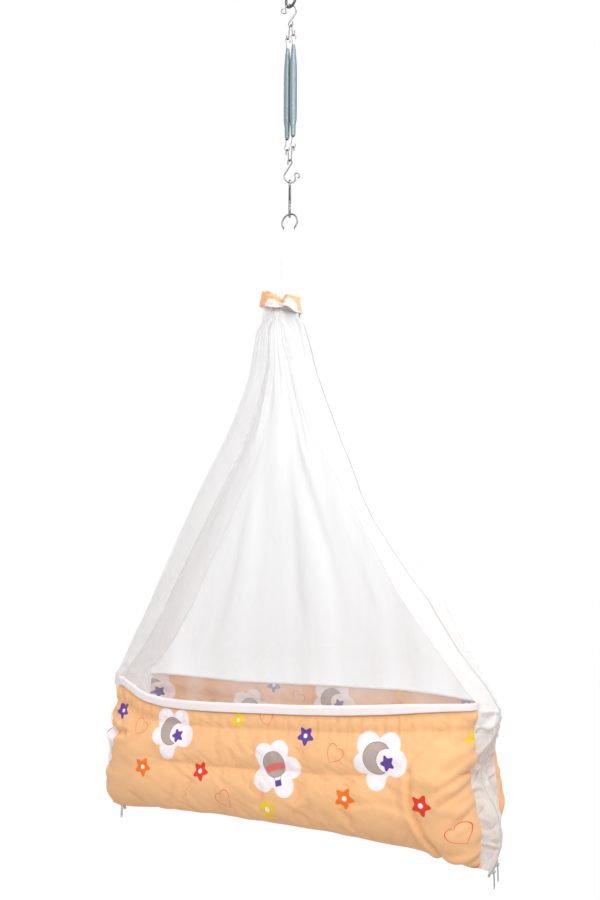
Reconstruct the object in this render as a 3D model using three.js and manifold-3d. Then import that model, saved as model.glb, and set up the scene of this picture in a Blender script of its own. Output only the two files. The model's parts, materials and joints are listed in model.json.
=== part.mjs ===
// Hanging baby cradle, in millimetres with +Z up.
// A cotton and net cradle hangs from a ceiling hook by a link, two S-hooks, a pair of springs,
// a snap hook and a ring. The origin is the seat of the ceiling hook, at the top of the link's eye.
// X runs along the cradle and Y across it.

import * as THREE from 'three';
import { mergeVertices } from 'three/addons/utils/BufferGeometryUtils.js';
import Module from 'manifold-3d';

const wasm = await Module();
wasm.setup();

// Angles and clearances that several pieces share
const degree = Math.PI / 180;
const quarterTurn = Math.PI / 2;
const fullTurn = 2 * Math.PI;
const clearance = 0.3;
const cutterOverrun = 2;
const weldOverlap = 0.2;

// How each piece of the hanging hardware is turned about the vertical
const hookTurn = 43 * degree;
const springTurn = -19 * degree;
const snapTurn = 118 * degree;

// Oval link that the ceiling hook carries
const link = { wireRadius: 3, eyeHeight: 48, eyeWidth: 26 };

// S-hook: a big bow, a straight shank and a small throat, with its end curled into an eye
const hook = {
  wireRadius: 1.75, height: 58, bowRadius: 14, throatRadius: 5.3, throatTip: 6, curlRadius: 6, curlDrop: 5,
};
const hookAngles = {
  bowEnd: 172, shankStart: -22, throatStart: 160, throatEnd: 375, curlEnd: 50, curlStart: -255,
};

// Wire V with hooked ends, between an S-hook and the two springs
const bail = { wireRadius: 1.5, height: 33, apexRadius: 4.6, hookRadius: 3.4, tipLength: 8 };
const bailAngles = { apexStart: 155, apexEnd: 25, legTurn: 10 };

// Extension spring with drawn-in ends and a long eye at each end
const spring = {
  wireRadius: 1.1, coilRadius: 7.4, bodyLength: 235, spacing: 20, taperLength: 34, neckRadius: 3,
  eyeRadius: 6.2, neckLength: 16.1,
};
const springCurls = 29;
const springStepsPerCurl = 8;
const springSides = 5;
const eyeAngles = { tip: -48, neck: 228 };

// Snap hook: a pear of wire whose gate closes one side
const snap = {
  wireRadius: 2.75, height: 88, topRadius: 8.5, bottomRadius: 12.5, noseDrop: 22, pivotDrop: 60,
  noseGap: 0.6, tongueThickness: 2, tongueLength: 7, pinRadius: 1, slotDepth: 9,
};

// Ring that carries the strap
const ring = { wireRadius: 2, radius: 19.5 };

// Cotton strap doubled over the ring, gathered in it and spread below it
const strap = {
  halfWidth: 20, thickness: 2, fall: 190, bandDepth: 12, layerGap: 2.4, closeDrop: 30, foldGap: 0.75,
};
const strapGatherAngle = 38 * degree;

// Cotton band round the gathered top of the canopy, drawn in at its middle
const band = {
  halfLength: 55, lobeHalfDepth: 22, waistHalfDepth: 9.5, height: 46, waistHeight: 34, thickness: 3,
  swell: 1.5, shift: -20,
};
const bandTilt = 8 * degree;
const bandFullness = 0.6;

// Canopy, from the rim up to the band and its ends inside the band
const canopy = {
  height: 838, topHalfLength: 47.5, tuck: 26, netThickness: 1, netTopDepth: 7, foldDepth: 6, rimGap: 1,
};
const netFolds = 4;

// End strips of cotton, in halves on either side of a zip
const strip = { thickness: 1.2, seamDepth: 56, topSeamDepth: 5.5, hem: 290 };
const rimRoundness = 1.4;
const topRoundness = 2;

// Body of the cradle, measured down from the rim at its ends
const body = {
  halfLength: 455, rimSeamInset: 34, rimHalfDepth: 125, halfDepth: 133, rimSag: 6, depth: 232, endDroop: 24,
  cornerRadius: 62, taperLength: 250, footRadius: 45,
};
const endDroopSharpness = 5;
const boatFullness = 0.9;
const wall = { thickness: 10, padRise: 6 };
const squareShares = { start: 0.06, end: 0.5 };
const boxShares = { end: 0.125, corner: 0.5 };
const floorCloth = { thickness: 1.5, endGap: 4, drop: 0.8 };
const binding = { above: 8, below: 10, thickness: 1.4, standOff: 1 };
const board = { endGap: 90, halfDepth: 76, thickness: 4, cornerRadius: 40 };
const mattress = {
  endGap: 80, halfDepth: 90, thickness: 38, crown: 9, cornerRadius: 50, tuck: 12, shoulder: 26,
};

// Zips: two tapes with a narrow line between them, in which the slider's web runs.
// Below the fold in the end of the cradle each zip follows an arc.
const zip = {
  tapeEdge: 3.7, midGap: 1.2, thickness: 2.2, foldDepth: 34, foldDrop: 150, arcRadius: 126, arcDrop: 223,
  stopHeight: 3.5, stopMargin: 0.6,
};
const zipEndAngle = -35 * degree;
const zipArcSteps = 14;
const slider = {
  length: 13, topHalfWidth: 4.4, footHalfWidth: 3.2, plateThickness: 1.5, plateGap: 0.45, webThickness: 0.6,
  webLength: 5, bridgeWidth: 2, bridgeHalfLength: 3.9, bridgeWall: 1.2, bridgeOpening: 3,
};
const lowSliderAngle = -31 * degree;
const highSliderAngle = -24 * degree;
const pull = {
  length: 30, width: 7, thickness: 1.2, barHeight: 1.4, eyeWidth: 3.4, eyeHeight: 7, holeRadius: 1.5,
};

// Half the canopy's length beyond its top, by height
const endLineShares = [
  [0, 1], [0.1, 0.895], [0.2, 0.784], [0.385, 0.6], [0.53, 0.443], [0.635, 0.315], [0.7, 0.247],
  [0.785, 0.162], [0.84, 0.109], [0.91, 0.065], [0.96, 0.036], [0.985, 0], [1, 0],
];

// Seams between the strips and the nets at the nets' rows: their distance from the end lines,
// in rim insets
const netRowShares = [0, 0.1, 0.26, 0.42, 0.6, 0.785, 0.91, 1];
const rightSeamShares = [1, 1.36, 2.18, 2.45, 2.59, 2.1, 1.7, 1.4];
const leftSeamShares = [1, 1.36, 2.18, 2.45, 2.59, 1.94, 1.3, 0.7];

// The same seams' distance from the middle plane, from the top's to the rim's
const seamDepthShares = [[0, 1], [0.26, 0.98], [0.6, 0.77], [0.785, 0.5], [0.91, 0.27], [1, 0]];

// How much of the band's shift to the left the canopy has, by height
const shiftShares = [[0, 0], [0.7, 0], [0.785, 0.25], [0.84, 0.42], [0.96, 1], [1, 1]];

// Swell of the walls' padding between its sewn channels, from the rim down
const padShares = [
  [0, 0], [0.06, 0], [0.12, 1], [0.19, 0], [0.36, 1], [0.55, 0], [0.74, 1], [0.87, 0.5], [0.96, 0], [1, 0],
];

// Rows of the other soft pieces; a strip has rows at all of the nets' rows
const stripRowShares = [0, 0.1, 0.2, 0.26, 0.34, 0.42, 0.53, 0.6, 0.7, 0.785, 0.84, 0.91, 0.96, 1];
const skirtRowShares = [1, 0.93, 0.86, 0.79, 0.72, 0.65, 0.58];
const foldRowShares = [1, 0.75, 0.5, 0.25];
const stripColumnShares = [0, 0.5, 1];
const rimColumns = 16;

// Finishes
const finish = (color, roughness, metalness = 0, more = {}) => (
  new THREE.MeshStandardMaterial({ color, roughness, metalness, side: THREE.DoubleSide, ...more })
);
const darkSteel = finish(0x55585a, 0.35, 1);
const brightSteel = finish(0xb9bcbe, 0.3, 1);
const zinc = finish(0x9fb0b8, 0.35, 1);
const whiteCotton = finish(0xf4f1ef, 0.85);
const netCloth = finish(0xf0f1f5, 0.9, 0, { transparent: true, opacity: 0.5 });
const orangeCotton = finish(0xf5b97d, 0.85);
const zipNylon = finish(0xf2efee, 0.5);
const mattressCotton = finish(0xf3efe8, 0.9);
const hardboard = finish(0x9a7750, 0.8);

// Heights of the wires' middles where the hardware hangs piece from piece
const linkFoot = -link.eyeHeight - link.wireRadius;
const upperHookTop = linkFoot + link.wireRadius + clearance + hook.wireRadius;
const upperBailTop = upperHookTop - hook.height + hook.wireRadius + clearance + bail.wireRadius;
const upperEyeTop = upperBailTop - bail.height + bail.wireRadius + clearance + spring.wireRadius;
const springReach = spring.bodyLength / 2 + spring.neckLength + 2 * spring.eyeRadius;
const springMiddle = upperEyeTop - springReach;
const lowerBailTop = springMiddle - springReach + spring.wireRadius + clearance + bail.wireRadius;
const lowerBailApex = lowerBailTop - bail.height;
const lowerHookTop = lowerBailApex + bail.wireRadius + clearance + hook.wireRadius;
const lowerHookFoot = lowerHookTop - hook.height;
const snapTop = lowerHookFoot + hook.wireRadius + clearance + snap.wireRadius;
const ringMiddle = snapTop - snap.height + snap.wireRadius + clearance + ring.wireRadius - ring.radius;
const ringFoot = ringMiddle - ring.radius;
const rimLevel = ringFoot - strap.fall - strap.bandDepth - canopy.height;

// Number tools
const mix = (from, to, share) => from + (to - from) * share;
const held = (value, low, high) => Math.min(Math.max(value, low), high);
const eased = (share) => share * share * (3 - 2 * share);
const evenShares = (count) => Array.from({ length: count + 1 }, (unused, index) => index / count);

// A value read from a table of [share, value] rows, with straight lines between them
function fromTable(table, share) {
  const row = held(table.findIndex(([start]) => start >= share), 1, table.length - 1);
  const [lowPlace, lowValue] = table[row - 1];
  const [highPlace, highValue] = table[row];
  return mix(lowValue, highValue, (share - lowPlace) / (highPlace - lowPlace));
}

// A path through given points, with one ring of a wire at each of them
class WirePath extends THREE.Curve {
  constructor(points) {
    super();
    this.points = points;
  }

  getPoint(share, target = new THREE.Vector3()) {
    const along = share * (this.points.length - 1);
    const index = held(Math.floor(along), 0, this.points.length - 2);
    return target.lerpVectors(this.points[index], this.points[index + 1], along - index);
  }

  getPointAt(share, target) {
    return this.getPoint(share, target);
  }

  getTangentAt(share, target) {
    return this.getTangent(share, target);
  }
}

// Points of an arc in the XZ plane, between two angles in degrees
function arc(centreX, centreZ, radius, from, to, steps) {
  return evenShares(steps).map((share) => {
    const angle = mix(from, to, share) * degree;
    return new THREE.Vector3(centreX + radius * Math.cos(angle), 0, centreZ + radius * Math.sin(angle));
  });
}

// A many-sided section of a round wire
function roundSection(radius, sides) {
  const corners = evenShares(sides).slice(0, sides).map((share) => {
    const angle = fullTurn * share;
    return new THREE.Vector2(radius * Math.cos(angle), radius * Math.sin(angle));
  });
  return new THREE.Shape(corners);
}

// An open length of wire through given points
function wire(points, radius, sides) {
  const path = new WirePath(points);
  const steps = points.length - 1;
  return new THREE.ExtrudeGeometry(roundSection(radius, sides), { steps, extrudePath: path });
}

// A box between low and high corners
function box(low, high) {
  const geometry = new THREE.BoxGeometry(high[0] - low[0], high[1] - low[1], high[2] - low[2]);
  return geometry.translate((low[0] + high[0]) / 2, (low[1] + high[1]) / 2, (low[2] + high[2]) / 2);
}

// A flat plate from an outline in the YZ plane, between two places along X
function plate(shape, fromX, toX) {
  const geometry = new THREE.ExtrudeGeometry(shape, { depth: toX - fromX, bevelEnabled: false });
  const axes = [new THREE.Vector3(0, 1, 0), new THREE.Vector3(0, 0, 1), new THREE.Vector3(1, 0, 0)];
  geometry.applyMatrix4(new THREE.Matrix4().makeBasis(...axes));
  return geometry.translate(fromX, 0, 0);
}

// A closed body from positions and triangles, turned outwards if it came out inside out
function closedBody(positions, triangles) {
  const corner = (index) => new THREE.Vector3().fromArray(positions, index * 3);
  let volume = 0;
  for (let first = 0; first < triangles.length; first += 3) {
    const [a, b, c] = [corner(triangles[first]), corner(triangles[first + 1]), corner(triangles[first + 2])];
    volume += a.dot(b.cross(c));
  }
  const outward = volume > 0 ? triangles : [...triangles].reverse();
  const geometry = new THREE.BufferGeometry();
  geometry.setAttribute('position', new THREE.Float32BufferAttribute(positions, 3));
  geometry.setIndex(outward);
  geometry.computeVertexNormals();
  return geometry;
}

// A body between two grids of points that match row by row, such as a cloth's face and its lining.
// A wrapped body joins its last column to its first.
function bodyBetween(face, lining, wrapped = false) {
  const rows = face.length;
  const columns = face[0].length;
  const positions = [];
  [...face, ...lining].forEach((row) => row.forEach((point) => positions.push(point.x, point.y, point.z)));
  const at = (layer, row, column) => (layer * rows + row) * columns + (column % columns);
  const triangles = [];
  const quad = (a, b, c, d) => triangles.push(a, b, c, a, c, d);
  const lastRow = rows - 1;
  const spans = wrapped ? columns : columns - 1;
  for (let column = 0; column < spans; column += 1) {
    for (let row = 0; row < lastRow; row += 1) {
      quad(at(0, row, column), at(0, row, column + 1), at(0, row + 1, column + 1), at(0, row + 1, column));
      quad(at(1, row, column), at(1, row + 1, column), at(1, row + 1, column + 1), at(1, row, column + 1));
    }
    quad(at(0, 0, column), at(1, 0, column), at(1, 0, column + 1), at(0, 0, column + 1));
    const [near, far] = [at(0, lastRow, column), at(1, lastRow, column)];
    quad(near, at(0, lastRow, column + 1), at(1, lastRow, column + 1), far);
  }
  for (let row = 0; row < lastRow && !wrapped; row += 1) {
    quad(at(0, row, 0), at(0, row + 1, 0), at(1, row + 1, 0), at(1, row, 0));
    quad(at(0, row, spans), at(1, row, spans), at(1, row + 1, spans), at(0, row + 1, spans));
  }
  return closedBody(positions, triangles);
}

// A body from rings of points stacked one above another, closed by a fan at each end
function stackedBody(rings) {
  const count = rings[0].length;
  const positions = [];
  rings.forEach((points) => points.forEach((point) => positions.push(point.x, point.y, point.z)));
  const triangles = [];
  rings.slice(1).forEach((unused, level) => {
    for (let index = 0; index < count; index += 1) {
      const [a, b] = [level * count + index, level * count + (index + 1) % count];
      triangles.push(a, b, b + count, a, b + count, a + count);
    }
  });
  const fan = (points, first, flipped) => {
    const centre = points.reduce((sum, point) => sum.add(point), new THREE.Vector3()).divideScalar(count);
    const hub = positions.length / 3;
    positions.push(centre.x, centre.y, centre.z);
    for (let index = 0; index < count; index += 1) {
      const [a, b] = [first + index, first + (index + 1) % count];
      triangles.push(hub, flipped ? a : b, flipped ? b : a);
    }
  };
  fan(rings[0], 0, false);
  fan(rings[rings.length - 1], (rings.length - 1) * count, true);
  return closedBody(positions, triangles);
}

// A sheet of cloth whose face is a surface of a share across and a place along.
// Its lining lies on one side of the face, which turn picks.
function sheet(surface, thickness, acrossShares, alongs, turn) {
  const shareReach = 0.002;
  const [first, last] = [alongs[0], alongs[alongs.length - 1]];
  const [low, high] = [Math.min(first, last), Math.max(first, last)];
  const alongReach = shareReach * (last - first);
  const face = [];
  const lining = [];
  alongs.forEach((along) => {
    const faceRow = acrossShares.map((across) => surface(across, along));
    const liningRow = acrossShares.map((across, index) => {
      const [left, right] = [held(across - shareReach, 0, 1), held(across + shareReach, 0, 1)];
      const [before, after] = [held(along - alongReach, low, high), held(along + alongReach, low, high)];
      const acrossSlope = surface(right, along).sub(surface(left, along));
      const alongSlope = surface(across, after).sub(surface(across, before));
      const normal = acrossSlope.cross(alongSlope).normalize();
      return faceRow[index].clone().addScaledVector(normal, turn * thickness);
    });
    face.push(faceRow);
    lining.push(liningRow);
  });
  return bodyBetween(face, lining);
}

// Joins and cuts of closed geometry
function toSolid(geometry) {
  const bare = geometry.clone();
  bare.deleteAttribute('normal');
  bare.deleteAttribute('uv');
  const merged = mergeVertices(bare);
  const vertProperties = new Float32Array(merged.attributes.position.array);
  const triVerts = new Uint32Array(merged.index.array);
  return new wasm.Manifold(new wasm.Mesh({ numProp: 3, vertProperties, triVerts }));
}

function fromSolid(solid) {
  const { vertProperties, triVerts } = solid.getMesh();
  const geometry = new THREE.BufferGeometry();
  geometry.setAttribute('position', new THREE.Float32BufferAttribute(vertProperties, 3));
  geometry.setIndex([...triVerts]);
  geometry.computeVertexNormals();
  return geometry;
}

const joined = (geometries) => fromSolid(geometries.map(toSolid).reduce((sum, next) => sum.add(next)));
const cut = (geometry, cutters) => (
  fromSolid(cutters.map(toSolid).reduce((left, cutter) => left.subtract(cutter), toSolid(geometry)))
);

// A named mesh, put into a group
function place(group, name, geometry, material) {
  const mesh = new THREE.Mesh(geometry, material);
  mesh.name = name;
  group.add(mesh);
}

// A group at a height, turned about the vertical
function station(parent, height, turn = 0) {
  const group = new THREE.Group();
  group.position.z = height;
  group.rotation.z = turn;
  parent.add(group);
  return group;
}

// Hanging link: an oval of round wire, with the top of its eye at the origin
function linkGeometry() {
  const endSteps = 8;
  const sides = 8;
  const endRadius = link.eyeWidth / 2 + link.wireRadius;
  const points = [
    ...arc(0, link.wireRadius - endRadius, endRadius, 0, 180, endSteps),
    ...arc(0, linkFoot + endRadius, endRadius, 180, 360, endSteps),
  ];
  points.push(points[0].clone());
  return new THREE.TubeGeometry(new WirePath(points), points.length - 1, link.wireRadius, sides, true);
}

// S-hook, with the middle of its bow's wire at the top of its own frame
function hookGeometry() {
  const bowSteps = 12;
  const throatSteps = 9;
  const curlSteps = 11;
  const sides = 7;
  const { bowEnd, shankStart, throatStart, throatEnd, curlEnd, curlStart } = hookAngles;
  const bow = arc(0, -hook.bowRadius, hook.bowRadius, bowEnd, shankStart, bowSteps);
  const curlCentreX = bow[0].x - hook.curlRadius * Math.cos(curlEnd * degree);
  const curlCentreZ = bow[0].z - hook.curlDrop - hook.curlRadius * Math.sin(curlEnd * degree);
  const curl = arc(curlCentreX, curlCentreZ, hook.curlRadius, curlStart, curlEnd, curlSteps);
  const throatZ = hook.throatRadius - hook.height;
  const throat = arc(0, throatZ, hook.throatRadius, throatStart, throatEnd, throatSteps);
  const tip = throat[throatSteps].clone();
  tip.z += hook.throatTip;
  return wire([...curl, ...bow, ...throat, tip], hook.wireRadius, sides);
}

// Bail, with the middle of its apex wire at the top of its own frame
function bailGeometry() {
  const apexSteps = 6;
  const hookSteps = 6;
  const sides = 6;
  const hookX = spring.spacing / 2;
  const hookZ = bail.hookRadius - bail.height;
  const { apexStart, apexEnd, legTurn } = bailAngles;
  const apex = arc(0, -bail.apexRadius, bail.apexRadius, apexStart, apexEnd, apexSteps);
  const leftHook = arc(-hookX, hookZ, bail.hookRadius, 180, 360 - legTurn, hookSteps);
  const rightHook = arc(hookX, hookZ, bail.hookRadius, 180 + legTurn, 360, hookSteps);
  const tips = [leftHook[0].clone(), rightHook[hookSteps].clone()];
  tips.forEach((tip) => tip.setZ(tip.z + bail.tipLength));
  return wire([tips[0], ...leftHook, ...apex, ...rightHook, tips[1]], bail.wireRadius, sides);
}

// Middle line of one spring's wire: an eye, a neck, the coils, the other neck and the other eye.
// The eyes lie in the XZ plane of the spring's own frame, which is at the middle of its body.
function springPoints() {
  const half = spring.bodyLength / 2;
  const eyeCentre = half + spring.neckLength + spring.eyeRadius;
  const eyeSteps = 9;
  const coilSteps = springCurls * springStepsPerCurl;
  const upperEye = arc(0, eyeCentre, spring.eyeRadius, eyeAngles.tip, eyeAngles.neck, eyeSteps);
  const coils = evenShares(coilSteps).map((share) => {
    const height = mix(half, -half, share);
    const fromEnd = Math.min(half - Math.abs(height), spring.taperLength) / spring.taperLength;
    const radius = mix(spring.neckRadius, spring.coilRadius, Math.sin(fromEnd * quarterTurn));
    const angle = fullTurn * (springCurls * share + 1 / 2);
    return new THREE.Vector3(radius * Math.cos(angle), radius * Math.sin(angle), height);
  });
  const lowerEye = arc(0, -eyeCentre, spring.eyeRadius, -eyeAngles.neck, -eyeAngles.tip, eyeSteps);
  return [...upperEye, ...coils, ...lowerEye];
}

// Least gap between parts of a wire that aren't next to each other along it
function leastGap(points, radius) {
  const reach = 6 * radius;
  let least = Infinity;
  points.forEach((point, index) => {
    let along = 0;
    for (let other = index + 1; other < points.length; other += 1) {
      along += points[other].distanceTo(points[other - 1]);
      if (along > reach) least = Math.min(least, point.distanceTo(points[other]) - 2 * radius);
    }
  });
  return least;
}

// A disc across the snap hook, about its gate's pivot
function pivotDisc(radius, thickness, x, drop) {
  const sides = 10;
  return new THREE.CylinderGeometry(radius, radius, thickness, sides).translate(x, 0, -drop);
}

// Place along X of the snap hook's gated side, at a drop below its top
function snapSideX(drop) {
  const share = (drop - snap.topRadius) / (snap.height - snap.topRadius - snap.bottomRadius);
  return -mix(snap.topRadius, snap.bottomRadius, share);
}

const snapSidePoint = (drop) => new THREE.Vector3(snapSideX(drop), 0, -drop);

// Snap hook's wire body, with a flat tongue that carries the gate's pin
function snapBodyGeometry() {
  const topSteps = 8;
  const bottomSteps = 10;
  const sides = 8;
  const rootDrop = snap.pivotDrop + snap.tongueLength;
  const bow = arc(0, -snap.topRadius, snap.topRadius, 180, 0, topSteps);
  const foot = arc(0, snap.bottomRadius - snap.height, snap.bottomRadius, 360, 180, bottomSteps);
  const line = [snapSidePoint(snap.noseDrop), ...bow, ...foot, snapSidePoint(rootDrop)];
  const frame = wire(line, snap.wireRadius, sides);
  const pivotX = snapSideX(snap.pivotDrop);
  const tongueX = snapSideX(snap.pivotDrop + snap.tongueLength / 2);
  const halfTongue = snap.tongueThickness / 2;
  const tongue = box(
    [tongueX - snap.wireRadius, -halfTongue, -rootDrop - snap.wireRadius],
    [tongueX + snap.wireRadius, halfTongue, -snap.pivotDrop],
  );
  const knuckle = pivotDisc(snap.wireRadius, snap.tongueThickness, pivotX, snap.pivotDrop);
  const boreLength = snap.tongueThickness + cutterOverrun;
  const bore = pivotDisc(snap.pinRadius + clearance, boreLength, pivotX, snap.pivotDrop);
  return cut(joined([frame, tongue, knuckle]), [bore]);
}

// Gate: a round bar with a slot for the tongue at its pivot end
function snapGateGeometry() {
  const sides = 8;
  const pivotX = snapSideX(snap.pivotDrop);
  const halfSlot = snap.tongueThickness / 2 + clearance;
  const ends = [snapSidePoint(snap.noseDrop + snap.noseGap), snapSidePoint(snap.pivotDrop)];
  const cheeks = pivotDisc(snap.wireRadius, 2 * snap.wireRadius, pivotX, snap.pivotDrop);
  const slot = box(
    [pivotX - 2 * snap.wireRadius, -halfSlot, -snap.pivotDrop - 2 * snap.wireRadius],
    [pivotX + 2 * snap.wireRadius, halfSlot, snap.slotDepth - snap.pivotDrop],
  );
  const boreLength = 2 * snap.wireRadius + cutterOverrun;
  const bore = pivotDisc(snap.pinRadius + clearance, boreLength, pivotX, snap.pivotDrop);
  return cut(joined([wire(ends, snap.wireRadius, sides), cheeks]), [slot, bore]);
}

// Strap: a sheet that goes up its front, over the ring's lowest wire and down its back.
// Its own frame is at the middle of the ring.
function strapGeometry() {
  const columns = 6;
  const foldSteps = 6;
  const innerFold = ring.wireRadius + strap.foldGap;
  const endDrop = ring.radius + strap.fall;
  const layer = (offset) => {
    const foldRadius = innerFold + offset;
    const restDepth = strap.layerGap / 2 + offset;
    const column = (share) => {
      const angle = strapGatherAngle * share;
      const wireX = ring.radius * Math.sin(angle);
      const wireDrop = ring.radius * Math.cos(angle);
      const spreadX = strap.halfWidth * share;
      const closed = new THREE.Vector3(spreadX, -restDepth, -wireDrop - strap.closeDrop);
      const end = new THREE.Vector3(spreadX, -restDepth, -endDrop);
      const fold = evenShares(foldSteps).map((foldShare) => {
        const turn = Math.PI * foldShare;
        const reach = foldRadius * Math.sin(turn);
        const y = -foldRadius * Math.cos(turn);
        return new THREE.Vector3(wireX - reach * Math.sin(angle), y, reach * Math.cos(angle) - wireDrop);
      });
      const across = (point) => new THREE.Vector3(point.x, -point.y, point.z);
      return [end, closed, ...fold, across(closed), across(end)];
    };
    return evenShares(columns).map((share) => column(2 * share - 1));
  };
  return bodyBetween(layer(strap.thickness), layer(0));
}

// Plan of the band at an angle, drawn in by an inset
function bandPoint(angle, inset) {
  const side = Math.cos(angle);
  const lobe = Math.sin(Math.PI * Math.abs(side)) ** 2;
  const depth = mix(band.waistHalfDepth, band.lobeHalfDepth, lobe) - inset;
  const roundness = Math.abs(Math.sin(angle)) ** bandFullness * Math.sign(Math.sin(angle));
  return { x: (band.halfLength - inset) * side, y: depth * roundness, lobe };
}

// Band: a wrapped strip of cloth, with its foot's middle at its own origin
function bandGeometry() {
  const columns = 28;
  const rows = 3;
  const layer = (inset, swell) => evenShares(rows - 1).map((rise) => (
    evenShares(columns).slice(0, columns).map((share) => {
      const bulge = swell * Math.sin(Math.PI * rise);
      const { x, y, lobe } = bandPoint(fullTurn * share, inset - bulge);
      const height = mix(band.waistHeight, band.height, lobe);
      const foot = (band.height - height) / 2;
      return new THREE.Vector3(x, y, foot + height * rise - x * Math.tan(bandTilt));
    })
  ));
  return bodyBetween(layer(0, band.swell), layer(band.thickness, 0), true);
}

// Share of the canopy's height, from 0 at the rim to 1 at the band
const riseOf = (height) => held(height / canopy.height, 0, 1);
const endLine = (height) => (
  mix(canopy.topHalfLength, body.halfLength, fromTable(endLineShares, riseOf(height)))
);
const seamDepth = (height) => (
  mix(strip.topSeamDepth, strip.seamDepth, fromTable(seamDepthShares, riseOf(height)))
);
const shiftAt = (height) => band.shift * fromTable(shiftShares, riseOf(height));
const seamHalfLength = body.halfLength - body.rimSeamInset;

// Place along X of one end's seam between strip and net; end is -1 at the left and 1 at the right.
// It is straight between the nets' rows, so that both pieces keep to it.
function seamX(height, end) {
  const insetShares = end > 0 ? rightSeamShares : leftSeamShares;
  const line = netRowShares.map((share, row) => {
    const rowHeight = canopy.height * share;
    return [share, shiftAt(rowHeight) + end * (endLine(rowHeight) - body.rimSeamInset * insetShares[row])];
  });
  return fromTable(line, riseOf(height));
}

// Place along X of a zip on the right-hand end: up the canopy, in at the fold and down an arc
const zipArcX = seamHalfLength + (body.rimSeamInset - zip.foldDepth)
  - Math.sqrt(zip.arcRadius ** 2 - (zip.arcDrop - zip.foldDrop) ** 2);

function zipX(height) {
  if (height >= 0) return endLine(height);
  if (height >= -zip.foldDrop) {
    return body.halfLength - zip.foldDepth * Math.sin(quarterTurn * -height / zip.foldDrop);
  }
  return zipArcX + Math.sqrt(zip.arcRadius ** 2 - (height + zip.arcDrop) ** 2);
}

// Height of the rim, which sags between its seams; nearness is 1 at a seam and 0 in the middle
const rimHeight = (nearness) => -body.rimSag * (1 - nearness * nearness);

// Height of the walls' foot, which droops towards the ends
const footHeight = (x) => -body.depth - body.endDroop * Math.abs(x / seamHalfLength) ** endDroopSharpness;

// Outline of a net or the rim in plan, like a boat's side, from the left seam to the right one.
// Returned are the reach along X and the nearness to a seam, and the depth from the middle plane.
function boatOutline(across, halfDepth, seamAt) {
  const side = 2 * across - 1;
  const angle = (1 - Math.abs(side)) * quarterTurn;
  const reach = Math.max(Math.cos(angle), 0) ** boatFullness;
  const depth = mix(seamAt, halfDepth, Math.sin(angle) ** boatFullness);
  return { reach: Math.sign(side) * reach, depth, nearness: reach };
}

// Outline of the lower body in plan between the same seams. Its left end tapers over a long curve,
// and its right end is boxy with a rounded corner.
function boxOutline(across, seamAt) {
  const side = 2 * across - 1;
  const fromSeam = 1 - Math.abs(side);
  const boxy = side > 0;
  const cornerLength = boxy ? body.cornerRadius : body.taperLength;
  const cornerX = seamHalfLength - cornerLength;
  const cornerDepth = boxy ? body.halfDepth - body.cornerRadius : seamAt;
  const flatShare = boxy ? boxShares.end : 0;
  if (fromSeam < flatShare) {
    return { x: seamHalfLength, depth: mix(seamAt, cornerDepth, fromSeam / flatShare) };
  }
  if (fromSeam <= boxShares.corner) {
    const angle = quarterTurn * (fromSeam - flatShare) / (boxShares.corner - flatShare);
    const x = Math.sign(side) * (cornerX + cornerLength * Math.cos(angle));
    return { x, depth: mix(cornerDepth, body.halfDepth, Math.sin(angle)) };
  }
  const x = Math.sign(side) * cornerX * (1 - fromSeam) / (1 - boxShares.corner);
  return { x, depth: body.halfDepth };
}

// Face of a net by share across and height; side is -1 at the front and 1 at the back
function netSurface(side) {
  return (across, height) => {
    const rise = riseOf(height);
    const seamAt = seamDepth(height) + clearance;
    const rimBulge = body.rimHalfDepth - strip.seamDepth;
    const topBulge = canopy.netTopDepth - strip.topSeamDepth;
    const halfDepth = seamAt + mix(rimBulge, topBulge, rise ** boatFullness);
    const { reach, depth, nearness } = boatOutline(across, halfDepth, seamAt);
    const [left, right] = [seamX(height, -1), seamX(height, 1)];
    const x = (left + right) / 2 + reach * (right - left) / 2;
    const looseness = (1 - nearness ** 6) * Math.sin(Math.PI * rise);
    const fold = canopy.foldDepth * Math.cos(fullTurn * netFolds * across) * looseness;
    const low = rimHeight(nearness) + canopy.rimGap;
    const z = mix(low, canopy.height, rise) + Math.max(height - canopy.height, 0);
    return new THREE.Vector3(x, side * (depth + fold), z);
  };
}

// Face of half an end strip, from its zip edge to its seam, by height
function stripSurface(end, side) {
  return (across, height) => {
    const zipEdgeX = end * zipX(height) + shiftAt(height);
    const edge = height >= 0 ? seamX(height, end) : end * seamHalfLength;
    const roundness = mix(rimRoundness, topRoundness, riseOf(height));
    const x = mix(zipEdgeX, edge, across ** roundness);
    const y = side * mix(zip.tapeEdge + clearance, seamDepth(height), across);
    return new THREE.Vector3(x, y, height);
  };
}

// Face of a wall by share across and share of the way down from the rim to its foot
function wallSurface(side) {
  return (across, down) => {
    const seamAt = strip.seamDepth + clearance;
    const boat = boatOutline(across, body.rimHalfDepth, seamAt);
    const square = boxOutline(across, seamAt);
    const squareSpan = squareShares.end - squareShares.start;
    const squareness = eased(held((down - squareShares.start) / squareSpan, 0, 1));
    const x = mix(boat.reach * seamHalfLength, square.x, squareness);
    const depth = mix(boat.depth, square.depth, squareness);
    const foot = footHeight(x);
    const z = mix(rimHeight(boat.nearness) - clearance, foot, down);
    const intoFoot = held(body.footRadius - (z - foot), 0, body.footRadius);
    const tuckIn = body.footRadius - Math.sqrt(body.footRadius ** 2 - intoFoot ** 2);
    const tuckShare = (depth - seamAt) / (body.halfDepth - seamAt);
    const pad = wall.padRise * fromTable(padShares, down) * (1 - boat.nearness ** 4);
    return new THREE.Vector3(x, side * (depth + pad - tuckIn * tuckShare), z);
  };
}

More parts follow.
